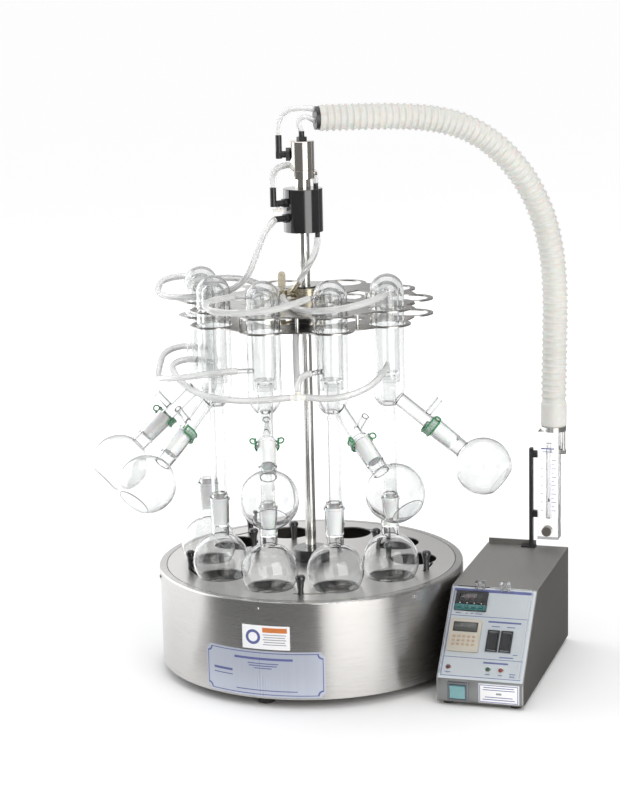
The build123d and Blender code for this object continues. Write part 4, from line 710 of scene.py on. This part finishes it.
# ---------------------------------------------------------------- controller
YAW = math.radians(-17.5)
ACROSS = Vector((math.cos(YAW), math.sin(YAW), 0.0))
BACK = Vector((-math.sin(YAW), math.cos(YAW), 0.0))
CASE_AT = Vector((174.5, -217.0, 0.0))
CASE_H, KINK_Z, SLOPE_RUN = 148.0, 41.0, 100.0
SLOPE = math.atan2(CASE_H - KINK_Z, SLOPE_RUN)


def case_point(u, v, w):
    """A point u across, v back and w up from the case's front left corner, in metres."""
    return (CASE_AT + ACROSS * u + BACK * v + Vector((0, 0, w))) * MM


def on_slope(u, t, n):
    """A point u across and t up the sloped panel, n proud of it, in metres."""
    return case_point(u, t * math.cos(SLOPE) - n * math.sin(SLOPE),
                      KINK_Z + t * math.sin(SLOPE) + n * math.cos(SLOPE))


def on_strip(u, w, n):
    """A point u across and w up the upright strip under the panel, n proud of it, in metres."""
    return case_point(u, -n, w)


SLOPE_OUT = (on_slope(0, 0, 1) - on_slope(0, 0, 0)).normalized()
TEMP_BOX = (32.5, 121.5, 47.0, 31.0)
TIMER_BOX = (31.0, 66.5, 46.0, 51.0)
ROCKERS = ((72.5, 61.0), (92.0, 61.0))
LAMPS = ((14.8, 16.8, "lamp_red"), (72.4, 17.0, "lamp_green"), (91.0, 17.0, "lamp_amber"))


def outline_bars(bm, at, u0, u1, t0, t1, thick, low, high, finish=0):
    """Four thin bars round a rectangle on a face."""
    tablet(bm, at, (u0 + u1) / 2, t0, u1 - u0 + thick, thick, low, high, 0.0, 0.05, finish)
    tablet(bm, at, (u0 + u1) / 2, t1, u1 - u0 + thick, thick, low, high, 0.0, 0.05, finish)
    tablet(bm, at, u0, (t0 + t1) / 2, thick, t1 - t0 - thick, low, high, 0.0, 0.05, finish)
    tablet(bm, at, u1, (t0 + t1) / 2, thick, t1 - t0 - thick, low, high, 0.0, 0.05, finish)


# printed outlines, dividers and caption bars on the panel
bm = bmesh.new()
outline_bars(bm, on_slope, 5.5, 120.0, 4.0, 141.5, 1.0, -0.05, 0.14)
tablet(bm, on_slope, 62.7, 98.5, 113.0, 0.9, -0.05, 0.14, 0.0, 0.05)
tablet(bm, on_slope, 62.7, 33.0, 113.0, 0.9, -0.05, 0.14, 0.0, 0.05)
tablet(bm, on_slope, 62.7, 139.2, 113.0, 3.6, -0.05, 0.12, 0.0, 0.05)
for u, t, width, height in ((86, 91.5, 48, 2.6), (74, 84.5, 12, 1.3), (96, 84.5, 12, 1.3),
                            (82, 27.3, 36, 2.6), (96, 37.0, 20, 1.6), (108, 42.0, 7, 1.2), (72.4, 9.4, 7, 1.2),
                            (91.0, 9.4, 6, 1.2), (108, 12.0, 9, 1.2), (108, 8.6, 7, 1.2), (14.8, 9.4, 8, 1.2),
                            (16, 102.5, 8, 1.2), (28, 102.5, 3, 1.2), (36, 102.5, 4, 1.2), (46, 102.5, 10, 1.2)):
    tablet(bm, on_slope, u, t, width, height, -0.05, 0.12, 0.0, 0.05)
mesh_piece("panel_print", bm, ["line_blue"], "base")

# the temperature controller's face
bm = bmesh.new()
tablet(bm, on_slope, TEMP_BOX[0], TEMP_BOX[1] + 3.6, 41.0, 17.5, 3.3, 3.9, 1.2, 0.25, 0)
tablet(bm, on_slope, TEMP_BOX[0], TEMP_BOX[1] - 10.5, 45.0, 8.6, 3.3, 3.5, 1.0, 0.15, 1)
tablet(bm, on_slope, TEMP_BOX[0] - 5.0, TEMP_BOX[1] + 5.2, 25.0, 9.5, 3.8, 4.05, 0.6, 0.1, 2)
for i in range(4):
    tablet(bm, on_slope, TEMP_BOX[0] - 15.75 + 10.5 * i, TEMP_BOX[1] - 4.4, 1.6, 1.6, 3.8, 4.1, 0.7, 0.1, 3)
mesh_piece("temp_controller_face", bm, ["satin_black", "teal", "display_black", "label_white"], "base")
bm = bmesh.new()
for i in range(4):
    tablet(bm, on_slope, TEMP_BOX[0] - 15.75 + 10.5 * i, TEMP_BOX[1] - 10.5, 4.4, 2.2, 4.15, 4.4, 0.5, 0.1, 0)
mesh_piece("temp_key_caps", bm, ["teal"], "temp_keys_body")

# seven-segment figures behind the display window
SEGMENTS = {0: "abcdef", 2: "abged", 5: "afgcd", 7: "abc"}
PLACES = {"a": (0, 2.7, 1), "g": (0, 0, 1), "d": (0, -2.7, 1), "f": (-1.5, 1.35, 0), "b": (1.5, 1.35, 0),
          "e": (-1.5, -1.35, 0), "c": (1.5, -1.35, 0)}


def figures(bm, at, digits, u, t, pitch, size, low, high, finish=0):
    """A row of seven-segment figures."""
    for index, digit in enumerate(digits):
        for segment in SEGMENTS[digit]:
            x, y, flat = PLACES[segment]
            width, height = (2.2, 0.5) if flat else (0.5, 2.1)
            tablet(bm, at, u + pitch * index + x * size, t + y * size, width * size, height * size, low, high,
                   0.0, 0.03, finish)


bm = bmesh.new()
figures(bm, on_slope, (7, 5, 0), TEMP_BOX[0] - 11.5, TEMP_BOX[1] + 5.2, 6.4, 1.15, 4.0, 4.12)
mesh_piece("temp_figures", bm, ["lamp_amber"], "base")

# the timer's face: window, figures and keypad
TIMER_N = 4.0
bm = bmesh.new()
tablet(bm, on_slope, TIMER_BOX[0], TIMER_BOX[1], 42.0, 47.0, TIMER_N - 0.1, TIMER_N + 0.5, 2.0, 0.3, 0)
tablet(bm, on_slope, TIMER_BOX[0], TIMER_BOX[1] + 12.5, 36.0, 15.5, TIMER_N + 0.3, TIMER_N + 0.75, 1.0, 0.15, 1)
tablet(bm, on_slope, TIMER_BOX[0], TIMER_BOX[1] + 12.5, 32.0, 11.5, TIMER_N + 0.6, TIMER_N + 0.85, 0.5, 0.1, 2)
for row in range(3):
    for column in range(5):
        u = TIMER_BOX[0] - 14.4 + 7.2 * column
        t = TIMER_BOX[1] - 2.6 - 6.2 * row
        tablet(bm, on_slope, u, t, 4.8, 3.6, TIMER_N + 0.4, TIMER_N + 1.2, 0.9, 0.3, 3)
mesh_piece("timer_face", bm, ["timer_beige", "satin_black", "lcd_grey", "key_tan"], "base")
bm = bmesh.new()
figures(bm, on_slope, (0, 2, 5, 0), TIMER_BOX[0] - 9.6, TIMER_BOX[1] + 12.5, 6.4, 1.15,
        TIMER_N + 0.82, TIMER_N + 0.92)
mesh_piece("timer_figures", bm, ["satin_black"], "base")

# indicator lamps: a turned bezel and a domed lens each
for index, (u, t, lens) in enumerate(LAMPS, 1):
    bm = bmesh.new()
    place = aim(on_slope(u, t, 0), SLOPE_OUT)
    lathe(bm, [(3.2, -0.05), (4.5, -0.05), (4.5, 0.8), (4.2, 1.15), (3.5, 1.25), (3.2, 0.9)], place, 48, 1)
    lathe(bm, [(3.35, 0.2), (3.35, 1.5), (3.1, 2.0), (2.4, 2.4), (1.3, 2.58), (0, 2.62)], place, 48, 0)
    lamp = mesh_piece(f"indicator_lamp_{index}", bm, [lens, "screw_steel"], "base")
    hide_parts("indicator_lamps")

# rocker frames, and the power switch's frame
bm = bmesh.new()
for u, t in ROCKERS:
    outline_bars(bm, on_slope, u - 7.4, u + 7.4, t - 15.9, t + 15.9, 2.4, 0.0, 2.1)
mesh_piece("rocker_frames", bm, ["satin_black"], "base")
POWER_SPOT = (30.75, 21.5)
bm = bmesh.new()
outline_bars(bm, on_strip, POWER_SPOT[0] - 13.2, POWER_SPOT[0] + 13.2, POWER_SPOT[1] - 12.4, POWER_SPOT[1] + 12.4,
             3.0, 0.0, 2.2)
mesh_piece("power_frame", bm, ["frame_grey"], "base")

# steel skin over the upright strip, and its label
bm = bmesh.new()
for u, w, width, height in ((9.0, 23.8, 14.6, 33.0), (84.8, 38.6, 79.6, 3.4), (30.75, 37.7, 28.6, 5.2),
                            (122.0, 22.2, 3.6, 29.6), (53.3, 22.2, 15.6, 29.6), (84.8, 7.9, 79.6, 1.2),
                            (30.75, 7.6, 28.6, 0.8)):
    tablet(bm, on_strip, u, w, width, height, -0.02, 0.25, 0.0, 0.05)
mesh_piece("strip_skin", bm, ["strip_steel"], "base")
bm = bmesh.new()
tablet(bm, on_strip, 90.3, 22.0, 58.0, 27.4, -0.02, 0.4, 0.8, 0.1, 0)
outline_bars(bm, on_strip, 62.8, 117.8, 9.6, 34.4, 1.0, 0.35, 0.5, 1)
for w, width in ((31.0, 44.0), (27.6, 46.0), (17.0, 40.0), (13.4, 46.0)):
    tablet(bm, on_strip, 90.3, w, width, 1.1, 0.35, 0.48, 0.0, 0.03, 1)
tablet(bm, on_strip, 90.3, 22.2, 8.0, 3.0, 0.35, 0.48, 0.0, 0.03, 2)
mesh_piece("strip_label", bm, ["label_white", "line_blue", "print_grey"], "base")

# ---------------------------------------------------------------- flowmeter
METER_U, METER_FRONT = 96.7, 321.5


def on_meter(u, w, n):
    """A point on the flowmeter's front face: u from its middle, w up, n proud."""
    return case_point(METER_U + u, METER_FRONT - n, w)


bm = bmesh.new()
SCALE_FOOT, TICK_PITCH = 208.0, 6.6
for i in range(13):
    width = 4.0 if i % 2 else 7.0
    tablet(bm, on_meter, 6.0 + width / 2, SCALE_FOOT + TICK_PITCH * i, width, 0.9, -0.02, 0.15, 0.0, 0.04)
for i in range(7):
    tablet(bm, on_meter, -9.0, SCALE_FOOT + 2 * TICK_PITCH * i, 4.0, 0.7, -0.02, 0.15, 0.0, 0.04)
tablet(bm, on_meter, 0, 305.0, 20.0, 2.0, -0.02, 0.15, 0.0, 0.04)
tablet(bm, on_meter, 0, 300.0, 16.0, 1.1, -0.02, 0.15, 0.0, 0.04)
mesh_piece("meter_scale", bm, ["line_blue"], "base")
bm = bmesh.new()
lathe(bm, [(0, -2.6), (1.3, -2.3), (2.3, -1.3), (2.6, 0), (2.3, 1.3), (1.3, 2.3), (0, 2.6)],
      Matrix.Translation(case_point(METER_U, 333.5, 222.0)), 32)
mesh_piece("meter_float", bm, ["satin_black"], "base")

# ---------------------------------------------------------------- floor, cards and light
FLOOR_R = 60.0
FLOOR_GLOW, GLOW_START, GLOW_FULL = 0.42, 0.5, 1.6     # the floor brightens away from the object
bm = bmesh.new()
bmesh.ops.create_circle(bm, cap_ends=True, segments=96, radius=FLOOR_R)
floor_mesh = bpy.data.meshes.new("floor")
bm.to_mesh(floor_mesh)
bm.free()
floor = bpy.data.objects.new("floor", floor_mesh)
bpy.context.scene.collection.objects.link(floor)
floor_material, floor_tree, floor_shader = new_material("floor_white")
floor_shader.inputs["Base Color"].default_value = (0.93, 0.93, 0.93, 1.0)
floor_shader.inputs["Roughness"].default_value = 0.75
floor_shader.inputs["Specular IOR Level"].default_value = 0.2
floor_shader.inputs["Emission Color"].default_value = (1.0, 1.0, 1.0, 1.0)
floor_coords = add_node(floor_tree, "ShaderNodeTexCoord")
floor_length = add_node(floor_tree, "ShaderNodeVectorMath", {"operation": "LENGTH"})
floor_tree.links.new(floor_coords.outputs["Object"], floor_length.inputs[0])
floor_tree.links.new(ranged(floor_tree, floor_length.outputs["Value"], 0.0, FLOOR_GLOW, GLOW_START,
                        GLOW_FULL),
                     floor_shader.inputs["Emission Strength"])
floor_mesh.materials.append(floor_material)


def dark_card(name, first, last, near, distance, height, shade):
    """A black card standing on a black apron that only the object's gloss sees, for dark bands in round metal."""
    bm = bmesh.new()
    columns = []
    count = 12
    for i in range(count + 1):
        bearing = first + (last - first) * i / count
        columns.append([bm.verts.new(spot(radius, bearing, z))
                        for radius, z in ((near, 1.0), (distance, 1.0), (distance, height))])
    for a, b in zip(columns, columns[1:]):
        for low in (0, 1):
            bm.faces.new((a[low], b[low], b[low + 1], a[low + 1]))
    mesh = bpy.data.meshes.new(name)
    bm.to_mesh(mesh)
    bm.free()
    card = bpy.data.objects.new(name, mesh)
    bpy.context.scene.collection.objects.link(card)
    material, tree, shader = new_material(name)
    shader.inputs["Base Color"].default_value = (shade, shade, shade, 1.0)
    shader.inputs["Roughness"].default_value = 1.0
    mesh.materials.append(material)
    card.visible_camera = False
    card.visible_diffuse = False
    card.visible_transmission = False
    card.visible_shadow = False


dark_card("card_front_left", -72.0, 5.0, 330.0, 1500.0, 2100.0, 0.16)
dark_card("card_right", 50.0, 150.0, 300.0, 1500.0, 1700.0, 0.17)


def softbox(name, at, target, width, height, radiance, colour=(1, 1, 1)):
    """An area light of a given radiance, hidden from the camera itself."""
    data = bpy.data.lights.new(name, "AREA")
    data.shape = "RECTANGLE"
    data.size = width
    data.size_y = height
    data.energy = radiance * math.pi * width * height
    data.color = colour
    lamp = bpy.data.objects.new(name, data)
    bpy.context.scene.collection.objects.link(lamp)
    lamp.location = at
    lamp.rotation_euler = (Vector(target) - Vector(at)).to_track_quat("-Z", "Y").to_euler()
    lamp.visible_camera = False
    return lamp


softbox("softbox_front_right", spot(1900, 30, 950), (0, 0, 0.55), 1.35, 1.8, 3.2, (1.0, 0.985, 0.965))
softbox("softbox_left", spot(2100, -112, 1000), (0, 0, 0.4), 3.0, 1.9, 1.9, (0.97, 0.985, 1.0))
softbox("softbox_top", (0.0, 0.3, 2.7), (0, 0, 0), 2.4, 2.4, 1.25)
back = softbox("softbox_back", (-1.0, 3.2, 1.5), (0, 0, 0.1), 2.4, 2.0, 0.6)
back.visible_transmission = False

SKY_LOW, SKY_HIGH = (0.33, 0.33, 0.335), (0.66, 0.66, 0.67)
world = bpy.data.worlds.new("studio")
world.use_nodes = True
bpy.context.scene.world = world
tree = world.node_tree
sky = tree.nodes["Background"]
coords = add_node(tree, "ShaderNodeTexCoord")
parts = add_node(tree, "ShaderNodeSeparateXYZ")
tree.links.new(coords.outputs["Generated"], parts.inputs["Vector"])
height_value = ranged(tree, parts.outputs["Z"], 0.0, 1.0, -0.05, 0.7)
tree.links.new(shade_of(tree, height_value, SKY_LOW, SKY_HIGH), sky.inputs["Color"])
sky.inputs["Strength"].default_value = 1.0

scene = bpy.context.scene
scene.view_settings.view_transform = "Standard"
GLASS_DEPTH = 28
scene.cycles.max_bounces = GLASS_DEPTH
scene.cycles.transmission_bounces = GLASS_DEPTH
scene.cycles.transparent_max_bounces = GLASS_DEPTH
